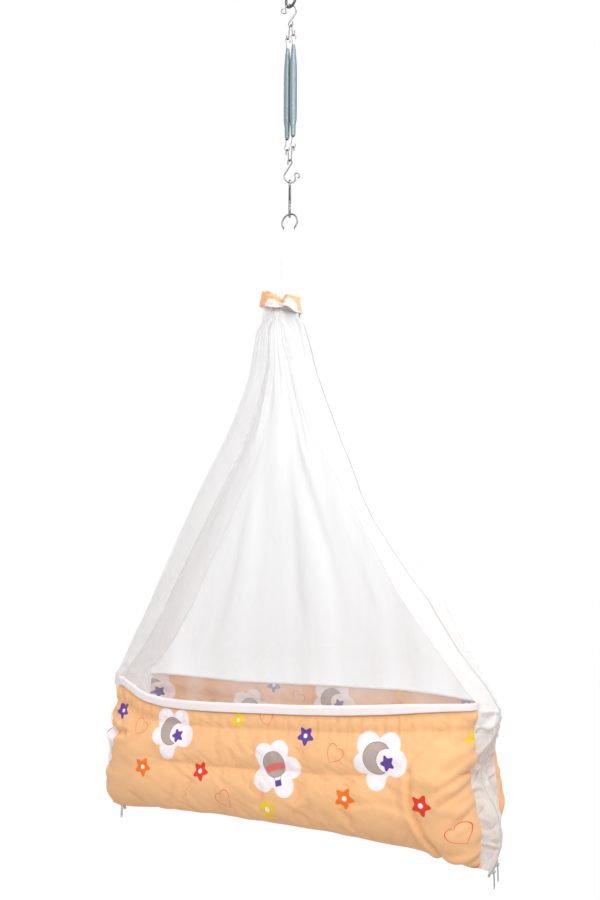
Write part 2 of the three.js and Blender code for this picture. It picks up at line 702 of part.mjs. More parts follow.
// Rim tape, outside the lower edge of a net and the upper edge of a wall
function bindingSurface(side) {
  const standOff = binding.standOff + binding.thickness;
  return (across, rise) => {
    const seamAt = strip.seamDepth + clearance;
    const { reach, depth, nearness } = boatOutline(across, body.rimHalfDepth + standOff, seamAt);
    const z = rimHeight(nearness) + mix(-binding.below, binding.above, rise);
    return new THREE.Vector3(reach * (seamHalfLength + standOff), side * depth, z);
  };
}

// Bottom cloth, just under the feet of the two walls
function floorGeometry() {
  const shares = evenShares(rimColumns).filter((share) => share <= 1 - boxShares.end / 2);
  const endScale = 1 - floorCloth.endGap / seamHalfLength;
  const layer = (depth) => [-1, 1].map((side) => shares.map((across) => {
    const point = wallSurface(side)(across, 1);
    const outerX = Math.min(Math.abs(point.x) + wall.thickness, seamHalfLength);
    return new THREE.Vector3(point.x * endScale, point.y, footHeight(outerX) - floorCloth.drop - depth);
  }));
  return bodyBetween(layer(floorCloth.thickness), layer(0));
}

// Points of a rounded rectangle at a height, drawn in by an inset
function roundedRing(halfLength, halfDepth, cornerRadius, inset, height) {
  const cornerSteps = 4;
  const centres = [[1, 1], [-1, 1], [-1, -1], [1, -1]];
  const radius = Math.max(cornerRadius - inset, cornerRadius / 4);
  return centres.flatMap(([sideX, sideY], quarter) => evenShares(cornerSteps).map((share) => {
    const angle = quarterTurn * (quarter + share);
    const x = sideX * (halfLength - inset - radius) + radius * Math.cos(angle);
    const y = sideY * (halfDepth - inset - radius) + radius * Math.sin(angle);
    return new THREE.Vector3(x, y, height);
  }));
}

// Stiff board on the bottom cloth
function boardGeometry() {
  const halfLength = body.halfLength - board.endGap;
  const ringAt = (height) => roundedRing(halfLength, board.halfDepth, board.cornerRadius, 0, height);
  return stackedBody([ringAt(0), ringAt(board.thickness)]);
}

// Mattress with drawn-in edges and a soft crown
function mattressGeometry() {
  const halfLength = body.halfLength - mattress.endGap;
  const levels = [
    [mattress.tuck, 0], [0, 0.4], [mattress.tuck, 0.8], [mattress.shoulder, 1],
  ];
  const ringAt = (inset, height) => (
    roundedRing(halfLength, mattress.halfDepth, mattress.cornerRadius, inset, height)
  );
  const rings = levels.map(([inset, heightShare]) => ringAt(inset, mattress.thickness * heightShare));
  const crownInset = mattress.halfDepth / 2;
  return stackedBody([...rings, ringAt(crownInset, mattress.thickness + mattress.crown)]);
}

// One tape of a zip
function tapeGeometry(end, side) {
  const arcEndAngle = Math.asin((zip.arcDrop - zip.foldDrop) / zip.arcRadius);
  const arcHeights = evenShares(zipArcSteps).slice(0, zipArcSteps).map((share) => (
    zip.arcRadius * Math.sin(mix(zipEndAngle, arcEndAngle, share)) - zip.arcDrop
  ));
  const foldHeights = foldRowShares.map((share) => -zip.foldDrop * share);
  const canopyHeights = stripRowShares.map((share) => canopy.height * share);
  const surface = (across, height) => {
    const x = end * zipX(height) + shiftAt(height);
    return new THREE.Vector3(x, side * mix(zip.midGap / 2, zip.tapeEdge, across), height);
  };
  const heights = [...arcHeights, ...foldHeights, ...canopyHeights];
  return sheet(surface, zip.thickness, [0, 1], heights, -side * end);
}

// Half an end strip, with its upper end inside the band
function stripGeometry(end, side) {
  const skirtHeights = skirtRowShares.map((share) => -strip.hem * share);
  const foldHeights = foldRowShares.map((share) => -zip.foldDrop * share);
  const canopyHeights = stripRowShares.map((share) => canopy.height * share);
  const heights = [...skirtHeights, ...foldHeights, ...canopyHeights, canopy.height + canopy.tuck];
  return sheet(stripSurface(end, side), strip.thickness, stripColumnShares, heights, -side * end);
}

// Net side of the canopy, with its upper end inside the band
function netGeometry(side) {
  const heights = [...netRowShares.map((share) => canopy.height * share), canopy.height + canopy.tuck];
  return sheet(netSurface(side), canopy.netThickness, evenShares(rimColumns), heights, side);
}

function wallGeometry(side) {
  const downs = padShares.map(([share]) => share);
  return sheet(wallSurface(side), wall.thickness, evenShares(rimColumns), downs, -side);
}

function bindingGeometry(side) {
  return sheet(bindingSurface(side), binding.thickness, evenShares(rimColumns), [0, 1], side);
}

// Places of a slider's parts, outwards from the middle of the tapes
const plateFace = zip.thickness / 2 + slider.plateGap;
const plateBack = plateFace + slider.plateThickness;
const barPlace = plateBack + slider.bridgeOpening / 2;
const tapeRadius = zip.arcRadius - zip.thickness / 2;

// Slider: two plates on a web, with a bridge for the pull; X points out of the cradle
function sliderGeometry() {
  const half = slider.length / 2;
  const [top, foot] = [slider.topHalfWidth, slider.footHalfWidth];
  const shoulder = half / 3;
  const outline = new THREE.Shape([
    new THREE.Vector2(-foot, -half), new THREE.Vector2(foot, -half), new THREE.Vector2(top, shoulder),
    new THREE.Vector2(foot, half), new THREE.Vector2(-foot, half), new THREE.Vector2(-top, shoulder),
  ]);
  const plates = [plate(outline, plateFace, plateBack), plate(outline, -plateBack, -plateFace)];
  const [webHalf, webTop] = [slider.webThickness / 2, half - slider.webLength];
  const webReach = plateFace + weldOverlap;
  const web = box([-webReach, -webHalf, webTop], [webReach, webHalf, half - weldOverlap]);
  const [archHalf, archWidth] = [slider.bridgeHalfLength, slider.bridgeWidth / 2];
  const archBack = plateBack + slider.bridgeOpening + slider.bridgeWall;
  const arch = box([plateBack - weldOverlap, -archWidth, -archHalf], [archBack, archWidth, archHalf]);
  const openHalf = archHalf - slider.bridgeWall;
  const opening = box(
    [plateBack, -archWidth - cutterOverrun, -openHalf],
    [plateBack + slider.bridgeOpening, archWidth + cutterOverrun, openHalf],
  );
  const solidArch = cut(arch, [opening]);
  return joined([...plates, web, solidArch]).translate(tapeRadius, 0, 0);
}

// Pull: a tab that hangs from its bar, which is at its own origin
function pullGeometry() {
  const half = pull.width / 2;
  const top = pull.barHeight / 2;
  const foot = top - pull.length;
  const tipSteps = 6;
  const outline = new THREE.Shape();
  outline.moveTo(half, top);
  outline.lineTo(-half, top);
  outline.absarc(0, foot + half, half, Math.PI, fullTurn, false);
  const eye = new THREE.Path([
    new THREE.Vector2(-pull.eyeWidth / 2, -top), new THREE.Vector2(pull.eyeWidth / 2, -top),
    new THREE.Vector2(pull.eyeWidth / 2, -top - pull.eyeHeight),
    new THREE.Vector2(-pull.eyeWidth / 2, -top - pull.eyeHeight),
  ]);
  const hole = new THREE.Path().absarc(0, foot + half, pull.holeRadius, 0, fullTurn, false);
  outline.holes.push(eye, hole);
  const depth = pull.thickness;
  const options = { depth, bevelEnabled: false, curveSegments: tipSteps };
  const geometry = new THREE.ExtrudeGeometry(outline, options);
  const axes = [new THREE.Vector3(0, 1, 0), new THREE.Vector3(0, 0, 1), new THREE.Vector3(1, 0, 0)];
  geometry.applyMatrix4(new THREE.Matrix4().makeBasis(...axes));
  return geometry.translate(-depth / 2, 0, 0);
}

// A slider on the arc of a zip, with its pull hanging straight down
function placeSlider(group, name, angle) {
  const carrier = new THREE.Group();
  carrier.position.set(zipArcX, 0, -zip.arcDrop);
  carrier.rotation.y = -angle;
  group.add(carrier);
  place(carrier, `${name}_slider`, sliderGeometry(), brightSteel);
  const barRadius = tapeRadius + barPlace;
  const hanger = new THREE.Group();
  hanger.position.set(zipArcX + barRadius * Math.cos(angle), 0, barRadius * Math.sin(angle) - zip.arcDrop);
  group.add(hanger);
  place(hanger, `${name}_pull`, pullGeometry(), brightSteel);
}

// Stop below the ends of a zip's tapes
function stopGeometry() {
  const height = zip.arcRadius * Math.sin(zipEndAngle) - zip.arcDrop - clearance;
  const x = zipX(height);
  const [half, margin] = [zip.tapeEdge, zip.stopMargin];
  return box([x - zip.thickness - margin, -half, height - zip.stopHeight], [x + margin, half, height]);
}

// Hanging hardware, from the link down to the ring
function placeHardware(root) {
  place(station(root, 0, springTurn), 'hanging_link', linkGeometry(), darkSteel);
  place(station(root, upperHookTop, hookTurn), 'upper_hook', hookGeometry(), brightSteel);
  place(station(root, upperBailTop, springTurn), 'upper_bail', bailGeometry(), brightSteel);
  const points = springPoints();
  const springRow = station(root, springMiddle, springTurn);
  [['left_spring', -1], ['right_spring', 1]].forEach(([name, side]) => {
    const stand = station(springRow, 0, hookTurn - springTurn);
    stand.position.x = side * spring.spacing / 2;
    place(stand, name, wire(points, spring.wireRadius, springSides), zinc);
  });
  console.log('least gap in a spring, mm:', leastGap(points, spring.wireRadius).toFixed(2));
  const upturned = (geometry) => geometry.rotateY(Math.PI);
  place(station(root, lowerBailApex, springTurn), 'lower_bail', upturned(bailGeometry()), brightSteel);
  place(station(root, lowerHookFoot, hookTurn), 'lower_hook', upturned(hookGeometry()), brightSteel);
  const snapStand = station(root, snapTop, snapTurn);
  place(snapStand, 'snap_hook_body', snapBodyGeometry(), brightSteel);
  place(snapStand, 'snap_hook_gate', snapGateGeometry(), darkSteel);
  const pinLength = 2 * snap.wireRadius;
  const pin = pivotDisc(snap.pinRadius, pinLength, snapSideX(snap.pivotDrop), snap.pivotDrop);
  place(snapStand, 'snap_hook_pin', pin, brightSteel);
  const ringSides = 8;
  const ringSteps = 28;
  const hoop = new THREE.TorusGeometry(ring.radius, ring.wireRadius, ringSides, ringSteps);
  place(station(root, ringMiddle), 'suspension_ring', hoop.rotateX(quarterTurn), brightSteel);
}

// Cradle: strap, band, canopy, walls, bottom, mattress and zips
function placeCradle(root) {
  place(station(root, ringMiddle), 'hanging_strap', strapGeometry(), whiteCotton);
  const rim = station(root, rimLevel);
  const bandStand = station(rim, canopy.height);
  bandStand.position.x = band.shift;
  place(bandStand, 'top_band', bandGeometry(), orangeCotton);
  [['front', -1], ['back', 1]].forEach(([name, side]) => {
    place(rim, `${name}_net`, netGeometry(side), netCloth);
    place(rim, `${name}_wall`, wallGeometry(side), orangeCotton);
    place(rim, `${name}_binding`, bindingGeometry(side), whiteCotton);
    place(rim, `left_${name}_strip`, stripGeometry(-1, side), whiteCotton);
    place(rim, `right_${name}_strip`, stripGeometry(1, side), whiteCotton);
    place(rim, `left_zip_${name}_tape`, tapeGeometry(-1, side), zipNylon);
    place(rim, `right_zip_${name}_tape`, tapeGeometry(1, side), zipNylon);
  });
  place(rim, 'floor_panel', floorGeometry(), orangeCotton);
  const boardStand = station(rim, -body.depth);
  place(boardStand, 'base_board', boardGeometry(), hardboard);
  place(station(boardStand, board.thickness + clearance), 'mattress', mattressGeometry(), mattressCotton);
  const leftEnd = station(rim, 0, Math.PI);
  place(leftEnd, 'left_zip_stop', stopGeometry(), brightSteel);
  place(rim, 'right_zip_stop', stopGeometry(), brightSteel);
  placeSlider(leftEnd, 'left', lowSliderAngle);
  placeSlider(rim, 'right_lower', lowSliderAngle);
  placeSlider(rim, 'right_upper', highSliderAngle);
}

const cradle = new THREE.Group();
cradle.name = 'hanging_baby_cradle';
placeHardware(cradle);
placeCradle(cradle);

export default cradle;
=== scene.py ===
"""Looks of the hanging baby cradle: smooth wire, cotton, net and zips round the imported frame.

Lengths are in metres. X runs along the cradle, Y across it and Z up. Cloth pieces are shaped from
the rim's level. RIM_LEVEL and RING_LEVEL are heights over the seat of the ceiling hook.
"""

from __future__ import annotations

import json
import logging
import math
from dataclasses import dataclass
from enum import Enum
from typing import Any, Callable, Sequence

import bmesh
import bpy
import numpy as np
from mathutils import Matrix, Vector
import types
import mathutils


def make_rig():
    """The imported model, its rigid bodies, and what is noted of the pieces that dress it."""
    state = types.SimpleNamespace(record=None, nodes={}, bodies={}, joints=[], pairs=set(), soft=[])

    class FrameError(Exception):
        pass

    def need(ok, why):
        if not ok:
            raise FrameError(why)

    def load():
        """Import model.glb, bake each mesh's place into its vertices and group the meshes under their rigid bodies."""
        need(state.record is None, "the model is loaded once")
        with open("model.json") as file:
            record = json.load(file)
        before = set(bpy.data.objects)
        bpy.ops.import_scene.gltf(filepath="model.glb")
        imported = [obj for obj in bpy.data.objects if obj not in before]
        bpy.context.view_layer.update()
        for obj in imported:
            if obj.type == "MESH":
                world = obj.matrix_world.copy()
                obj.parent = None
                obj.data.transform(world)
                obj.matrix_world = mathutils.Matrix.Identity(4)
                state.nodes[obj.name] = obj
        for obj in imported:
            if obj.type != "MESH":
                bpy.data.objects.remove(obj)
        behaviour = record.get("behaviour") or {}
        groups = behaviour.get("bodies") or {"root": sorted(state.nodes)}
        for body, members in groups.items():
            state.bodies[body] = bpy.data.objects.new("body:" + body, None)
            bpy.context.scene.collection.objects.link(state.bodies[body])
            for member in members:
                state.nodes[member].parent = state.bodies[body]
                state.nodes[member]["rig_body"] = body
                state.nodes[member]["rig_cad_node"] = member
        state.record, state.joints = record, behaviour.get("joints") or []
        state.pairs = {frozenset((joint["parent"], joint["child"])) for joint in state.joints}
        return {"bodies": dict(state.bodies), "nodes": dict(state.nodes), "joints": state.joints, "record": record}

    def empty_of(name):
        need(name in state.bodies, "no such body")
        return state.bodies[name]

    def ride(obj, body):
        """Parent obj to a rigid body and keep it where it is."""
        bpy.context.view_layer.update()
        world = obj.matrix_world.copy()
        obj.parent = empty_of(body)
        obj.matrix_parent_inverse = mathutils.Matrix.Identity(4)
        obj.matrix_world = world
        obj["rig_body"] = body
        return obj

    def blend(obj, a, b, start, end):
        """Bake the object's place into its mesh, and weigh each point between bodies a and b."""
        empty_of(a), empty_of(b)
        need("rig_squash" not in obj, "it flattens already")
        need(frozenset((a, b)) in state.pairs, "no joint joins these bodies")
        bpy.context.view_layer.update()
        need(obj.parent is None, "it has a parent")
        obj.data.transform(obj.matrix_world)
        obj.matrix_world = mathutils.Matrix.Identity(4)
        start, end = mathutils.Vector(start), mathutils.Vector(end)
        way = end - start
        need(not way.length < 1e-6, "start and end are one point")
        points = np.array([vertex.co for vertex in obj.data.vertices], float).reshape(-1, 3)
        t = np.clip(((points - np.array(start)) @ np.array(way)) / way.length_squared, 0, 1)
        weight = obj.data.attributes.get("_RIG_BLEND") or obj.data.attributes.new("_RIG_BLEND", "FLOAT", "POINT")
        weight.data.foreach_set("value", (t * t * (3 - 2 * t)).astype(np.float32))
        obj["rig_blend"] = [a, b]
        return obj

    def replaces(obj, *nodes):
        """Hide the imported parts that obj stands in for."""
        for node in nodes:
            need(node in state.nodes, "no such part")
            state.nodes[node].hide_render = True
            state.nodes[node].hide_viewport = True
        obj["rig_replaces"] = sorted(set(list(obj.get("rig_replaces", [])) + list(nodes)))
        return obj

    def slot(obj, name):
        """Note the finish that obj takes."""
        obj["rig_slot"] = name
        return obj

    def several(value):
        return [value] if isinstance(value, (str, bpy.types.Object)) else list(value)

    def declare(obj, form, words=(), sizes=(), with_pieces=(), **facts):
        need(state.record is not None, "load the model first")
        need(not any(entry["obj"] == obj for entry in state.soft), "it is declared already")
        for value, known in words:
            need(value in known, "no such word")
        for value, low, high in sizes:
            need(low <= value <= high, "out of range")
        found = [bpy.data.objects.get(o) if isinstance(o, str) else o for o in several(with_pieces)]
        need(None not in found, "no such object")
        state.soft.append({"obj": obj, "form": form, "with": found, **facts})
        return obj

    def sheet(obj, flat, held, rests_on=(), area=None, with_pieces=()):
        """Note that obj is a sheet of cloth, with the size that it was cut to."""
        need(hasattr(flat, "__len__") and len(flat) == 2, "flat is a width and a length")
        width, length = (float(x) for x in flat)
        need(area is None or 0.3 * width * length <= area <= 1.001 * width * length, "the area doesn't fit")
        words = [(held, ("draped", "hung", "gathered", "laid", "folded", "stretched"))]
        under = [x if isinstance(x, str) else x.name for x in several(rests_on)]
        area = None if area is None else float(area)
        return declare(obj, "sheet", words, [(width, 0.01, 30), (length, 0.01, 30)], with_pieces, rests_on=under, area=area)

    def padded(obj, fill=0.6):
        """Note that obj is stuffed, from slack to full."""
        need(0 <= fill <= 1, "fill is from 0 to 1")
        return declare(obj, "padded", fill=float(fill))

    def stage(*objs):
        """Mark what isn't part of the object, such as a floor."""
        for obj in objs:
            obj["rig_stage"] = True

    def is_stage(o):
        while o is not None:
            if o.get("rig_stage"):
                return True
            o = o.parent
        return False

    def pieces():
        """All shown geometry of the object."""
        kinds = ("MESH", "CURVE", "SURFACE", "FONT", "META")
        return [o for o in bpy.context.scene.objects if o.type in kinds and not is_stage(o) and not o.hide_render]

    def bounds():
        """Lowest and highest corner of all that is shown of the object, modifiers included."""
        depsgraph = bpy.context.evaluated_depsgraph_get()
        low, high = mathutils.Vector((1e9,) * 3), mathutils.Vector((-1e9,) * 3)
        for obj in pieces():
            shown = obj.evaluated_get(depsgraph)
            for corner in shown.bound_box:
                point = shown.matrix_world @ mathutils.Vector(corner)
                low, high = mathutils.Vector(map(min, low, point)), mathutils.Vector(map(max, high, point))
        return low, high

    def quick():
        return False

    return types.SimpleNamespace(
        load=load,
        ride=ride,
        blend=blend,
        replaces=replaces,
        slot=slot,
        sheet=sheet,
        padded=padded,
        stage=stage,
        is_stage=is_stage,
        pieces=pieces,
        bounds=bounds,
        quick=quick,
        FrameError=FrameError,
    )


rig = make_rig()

log = logging.getLogger("cradle")

Array = np.ndarray
Points = np.ndarray
Surface = Callable[[Array, Array], Points]
Pair = tuple[float, float]
Triple = tuple[float, float, float]
Piece = bpy.types.Object
Material = bpy.types.Material

RIM_LEVEL = -1.664
RING_LEVEL = -0.6047
PRINT_REPEAT = (0.46, 0.30)
SEED = 20
MM = 0.001


def paint(red: float, green: float, blue: float) -> tuple[float, float, float, float]:
    """Turns a display colour of 0 to 255 into a linear one."""
    shares = [value / 255 for value in (red, green, blue)]
    linear = [s / 12.92 if s <= 0.04045 else ((s + 0.055) / 1.055) ** 2.4 for s in shares]
    return (linear[0], linear[1], linear[2], 1.0)


def eased(share: Array | float) -> Array:
    """Holds a share between 0 and 1 and eases its ends."""
    held = np.clip(share, 0, 1)
    return held * held * (3 - 2 * held)


def mixed(low: Any, high: Any, share: Any) -> Any:
    """Goes from low to high by a share."""
    return low + (high - low) * share


def table(values: Sequence[Pair], place: Array | float) -> Array:
    """Reads a table of (place, value) rows with straight lines between them."""
    rows = np.array(values, float)
    return np.interp(place, rows[:, 0], rows[:, 1])


class Ripples:
    """Seeded waves that give cloth its uneven surface."""

    def __init__(self, seed: int, waves: int = 7) -> None:
        """Draws the waves.

        Args:
            seed: picks the waves.
            waves: how many are added up.
        """
        draw = np.random.default_rng(SEED + seed)
        self.turns = draw.uniform(0, 2 * math.pi, waves)
        self.phases = draw.uniform(0, 2 * math.pi, waves)
        self.lengths = draw.uniform(0.7, 1.7, waves)

    def at(self, along: Array, across: Array, stretch: float = 1.0) -> Array:
        """Height of the waves, from about -1 to 1.

        Args:
            along: places in wavelengths.
            across: places in wavelengths.
            stretch: how much longer the waves are across than along.

        Returns:
            One height for each place.
        """
        total = np.zeros(np.broadcast(along, across).shape)
        for turn, phase, length in zip(self.turns, self.phases, self.lengths):
            reach = along * math.cos(turn) + across * math.sin(turn) / stretch
            total = total + np.sin(2 * math.pi * reach / length + phase + 0.6 * total)
        return total / len(self.turns) ** 0.5 / 1.2


class Socket:
    """A shader value that Python operators work on."""

    def __init__(self, finish: Nodes, link: bpy.types.NodeSocket) -> None:
        """Keeps the output socket and the finish that it belongs to."""
        self.finish = finish
        self.link = link

    def math(self, operation: str, *others: Socket | float, clamp: bool = False) -> Socket:
        """Adds one Math node on this value and the others."""
        values = {0: self, **{index + 1: other for index, other in enumerate(others)}}
        node = self.finish.node("ShaderNodeMath", {"operation": operation, "use_clamp": clamp},
                                values)
        return Socket(self.finish, node.outputs[0])

    def __add__(self, other: Socket | float) -> Socket:
        """Sum."""
        return self.math("ADD", other)

    __radd__ = __add__

    def __sub__(self, other: Socket | float) -> Socket:
        """Difference."""
        return self.math("SUBTRACT", other)

    def __rsub__(self, other: float) -> Socket:
        """Difference from a number."""
        return self.math("MULTIPLY", -1.0).math("ADD", other)

    def __mul__(self, other: Socket | float) -> Socket:
        """Product."""
        return self.math("MULTIPLY", other)

    __rmul__ = __mul__

    def __truediv__(self, other: Socket | float) -> Socket:
        """Quotient."""
        return self.math("DIVIDE", other)

    def __abs__(self) -> Socket:
        """Size without sign."""
        return self.math("ABSOLUTE")

    def least(self, other: Socket | float) -> Socket:
        """The lesser of two values."""
        return self.math("MINIMUM", other)

    def most(self, other: Socket | float) -> Socket:
        """The greater of two values."""
        return self.math("MAXIMUM", other)

    def inside(self, edge: float, softness: float = 0.0004) -> Socket:
        """1 where this distance is below the edge, 0 above it, with a soft step."""
        ends = {"Value": self, "From Min": edge + softness, "From Max": edge - softness}
        node = self.finish.node("ShaderNodeMapRange", {"clamp": True}, ends)
        return Socket(self.finish, node.outputs[0])


class Nodes:
    """Node tree whose nodes come from one method."""

    def __init__(self, tree: bpy.types.NodeTree) -> None:
        """Keeps the tree."""
        self.tree = tree

    def node(self, kind: str, settings: dict[str, Any] | None = None,
             inputs: dict[Any, Any] | None = None) -> bpy.types.Node:
        """Adds a node.

        Args:
            kind: the node's type.
            settings: what is set on the node itself; "stops" are a ramp's places and colours.
            inputs: values or links of its sockets, by name or number.

        Returns:
            The new node.
        """
        made = self.tree.nodes.new(kind)
        for name, value in (settings or {}).items():
            if name == "stops":
                elements = made.color_ramp.elements
                while len(elements) < len(value):
                    elements.new(1.0)
                for element, (place, colour) in zip(elements, value):
                    element.position, element.color = place, colour
            else:
                setattr(made, name, value)
        for name, value in (inputs or {}).items():
            self.feed(made.inputs[name], value)
        return made

    def feed(self, target: bpy.types.NodeSocket, value: Any) -> None:
        """Links or sets one input socket."""
        if isinstance(value, Socket):
            self.tree.links.new(value.link, target)
        else:
            target.default_value = value

    def output(self, kind: str, settings: dict[str, Any] | None, inputs: dict[Any, Any],
               name: str | int = 0) -> Socket:
        """Adds a node and wraps one of its outputs."""
        return Socket(self, self.node(kind, settings, inputs).outputs[name])

    def seen(self) -> Socket:
        """1 for rays of the camera, of gloss and through glass, 0 for those that carry light."""
        path = self.node("ShaderNodeLightPath")
        rays = ("Is Camera Ray", "Is Glossy Ray", "Is Transmission Ray")
        camera, gloss, glass = (Socket(self, path.outputs[ray]) for ray in rays)
        return camera.most(gloss).most(glass)


class Finish(Nodes):
    """Material of one surface."""

    def __init__(self, name: str) -> None:
        """Starts a material with its shader."""
        self.material = bpy.data.materials.new(name)
        self.material.use_nodes = True
        super().__init__(self.material.node_tree)
        self.shader = self.tree.nodes["Principled BSDF"]

    def measure(self) -> Socket:
        """The piece's own cloth coordinates, in metres."""
        return self.output("ShaderNodeUVMap", {"uv_map": "cloth"}, {}, "UV")

    def place(self) -> Socket:
        """Object coordinates."""
        return self.output("ShaderNodeTexCoord", None, {}, "Object")

    def parts(self, vector: Socket) -> tuple[Socket, Socket, Socket]:
        """Splits a vector."""
        node = self.node("ShaderNodeSeparateXYZ", None, {0: vector})
        return tuple(Socket(self, output) for output in node.outputs)

    def vector(self, operation: str, *values: Any) -> Socket:
        """Adds one Vector Math node."""
        node = self.node("ShaderNodeVectorMath", {"operation": operation}, dict(enumerate(values)))
        plain = operation in ("LENGTH", "DISTANCE", "DOT_PRODUCT")
        return Socket(self, node.outputs[1 if plain else 0])

    def noise(self, where: Socket, scale: float, detail: float = 2.0,
              stretch: Sequence[float] = (1, 1, 1)) -> Socket:
        """Noise from 0 to 1."""
        stretched = self.vector("MULTIPLY", where, tuple(stretch))
        inputs = {"Vector": stretched, "Scale": scale, "Detail": detail}
        return self.output("ShaderNodeTexNoise", None, inputs, 0)

    def blend(self, share: Socket | float, low: Any, high: Any) -> Socket:
        """Mixes two colours."""
        node = self.node("ShaderNodeMix", {"data_type": "RGBA"}, {0: share, 6: low, 7: high})
        return Socket(self, node.outputs[2])

    def bump(self, height: Socket, depth: float, strength: float = 1.0) -> None:
        """Feeds the shader's normal from a height."""
        inputs = {"Height": height, "Distance": depth, "Strength": strength}
        node = self.node("ShaderNodeBump", None, inputs)
        self.tree.links.new(node.outputs[0], self.shader.inputs["Normal"])

    def set(self, **values: Any) -> None:
        """Sets or links the shader's sockets, with _ for a space in their names."""
        for name, value in values.items():
            self.feed(self.shader.inputs[name.replace("_", " ")], value)


@dataclass(frozen=True)
class Cotton:
    """Plain woven cotton."""

    name: str
    colour: Triple
    shade: Triple
    thread: float = 0.55 * MM
    creases: float = 0.5 * MM
    sheen: float = 0.15
    glow: float = 0.0
    depth: float = 2.0 * MM
    # Share of the colour that the painted shade in the folds keeps.
    deep: float = 0.86

    def painted_fold_shade(self, finish: Finish, colour: Socket) -> Socket:
        """Painted shade: deeper colour in the folds and along the sewn seams, where shade falls in the hollows."""
        # The groove attribute marks the hollows where shade is painted.
        attribute = finish.node("ShaderNodeAttribute", {"attribute_name": "groove"})
        groove = Socket(finish, attribute.outputs["Fac"])
        low = finish.vector("MULTIPLY", colour, (self.deep, self.deep**1.9, self.deep**2.8))
        return finish.blend(groove, colour, low)

    def weave(self, finish: Finish) -> Socket:
        """Height of the threads, from 0 to 1."""
        across, along, _ = finish.parts(finish.measure())
        turns = 2 * math.pi / self.thread
        warp, weft = (across * turns).math("SINE"), (along * turns).math("SINE")
        return warp * weft * 0.5 + 0.5

    def surface(self, finish: Finish) -> Socket:
        """Colour of the cloth, uneven as dyed cotton is."""
        cloudy = finish.noise(finish.place(), 14.0, 3.0)
        threads = finish.noise(finish.measure(), 900.0, 1.0)
        share = (cloudy * 0.7 + threads * 0.3).math("SUBTRACT", 0.2, clamp=True)
        return finish.blend(share, paint(*self.colour), paint(*self.shade))

    def make(self) -> Material:
        """Builds the material."""
        finish = Finish(self.name)
        rough = finish.noise(finish.place(), 60.0) * 0.12 + 0.8
        finish.set(Base_Color=self.painted_fold_shade(finish, self.surface(finish)), Roughness=rough)
        finish.set(Sheen_Weight=self.sheen, Sheen_Roughness=0.5, Specular_IOR_Level=0.25)
        if self.glow:
            finish.set(Subsurface_Weight=self.glow, Subsurface_Radius=(1.0, 1.0, 1.0),
                       Subsurface_Scale=self.depth)
        wrinkles = finish.noise(finish.place(), 42.0, 4.0)
        height = self.weave(finish) * (0.08 * MM / self.creases) + wrinkles
        finish.bump(height, self.creases)
        return finish.material


@dataclass(frozen=True)
class EndCotton(Cotton):
    """White cotton with painted light: its lower end is tinted orange, standing in for light from the orange walls,
    and a band round the fold below the rim has painted shade.
    """

    # Painted orange light from the walls, on the lower end of the strip.
    painted_bounce_light: Triple = (245, 227, 218)
    # Colour and drop below the rim of the painted shade in the fold.
    fold: Triple = (222, 203, 192)
    fold_drop: float = 0.078

    def surface(self, finish: Finish) -> Socket:
        """Colour of the cloth, with painted orange light below the rim and painted shade at the fold."""
        _, _, up = finish.parts(finish.place())
        # Painted light: the lower end is tinted orange, standing in for light from the orange walls.
        low = ((up - (RIM_LEVEL - 0.03)) / -0.10).math("MULTIPLY", 0.85, clamp=True)
        colour = finish.blend(low, super().surface(finish), paint(*self.painted_bounce_light))
        # Painted shade: a band round the fold below the rim is darkened where it lies in shade.
        painted_fold_shadow = abs(up - (RIM_LEVEL - self.fold_drop)).inside(0.030, 0.026)
        return finish.blend(painted_fold_shadow * 0.8, colour, paint(*self.fold))


class Motif(Enum):
    """Shapes that the print is made from."""

    STAR = "star"
    HEART = "heart"
    DISC = "disc"


@dataclass(frozen=True)
class Sprinkle:
    """One small motif, repeated over the cloth."""

    motif: Motif
    colour: Triple
    at: Pair
    turn: float
    size: float
    line: float = 0.0
    eyed: bool = True


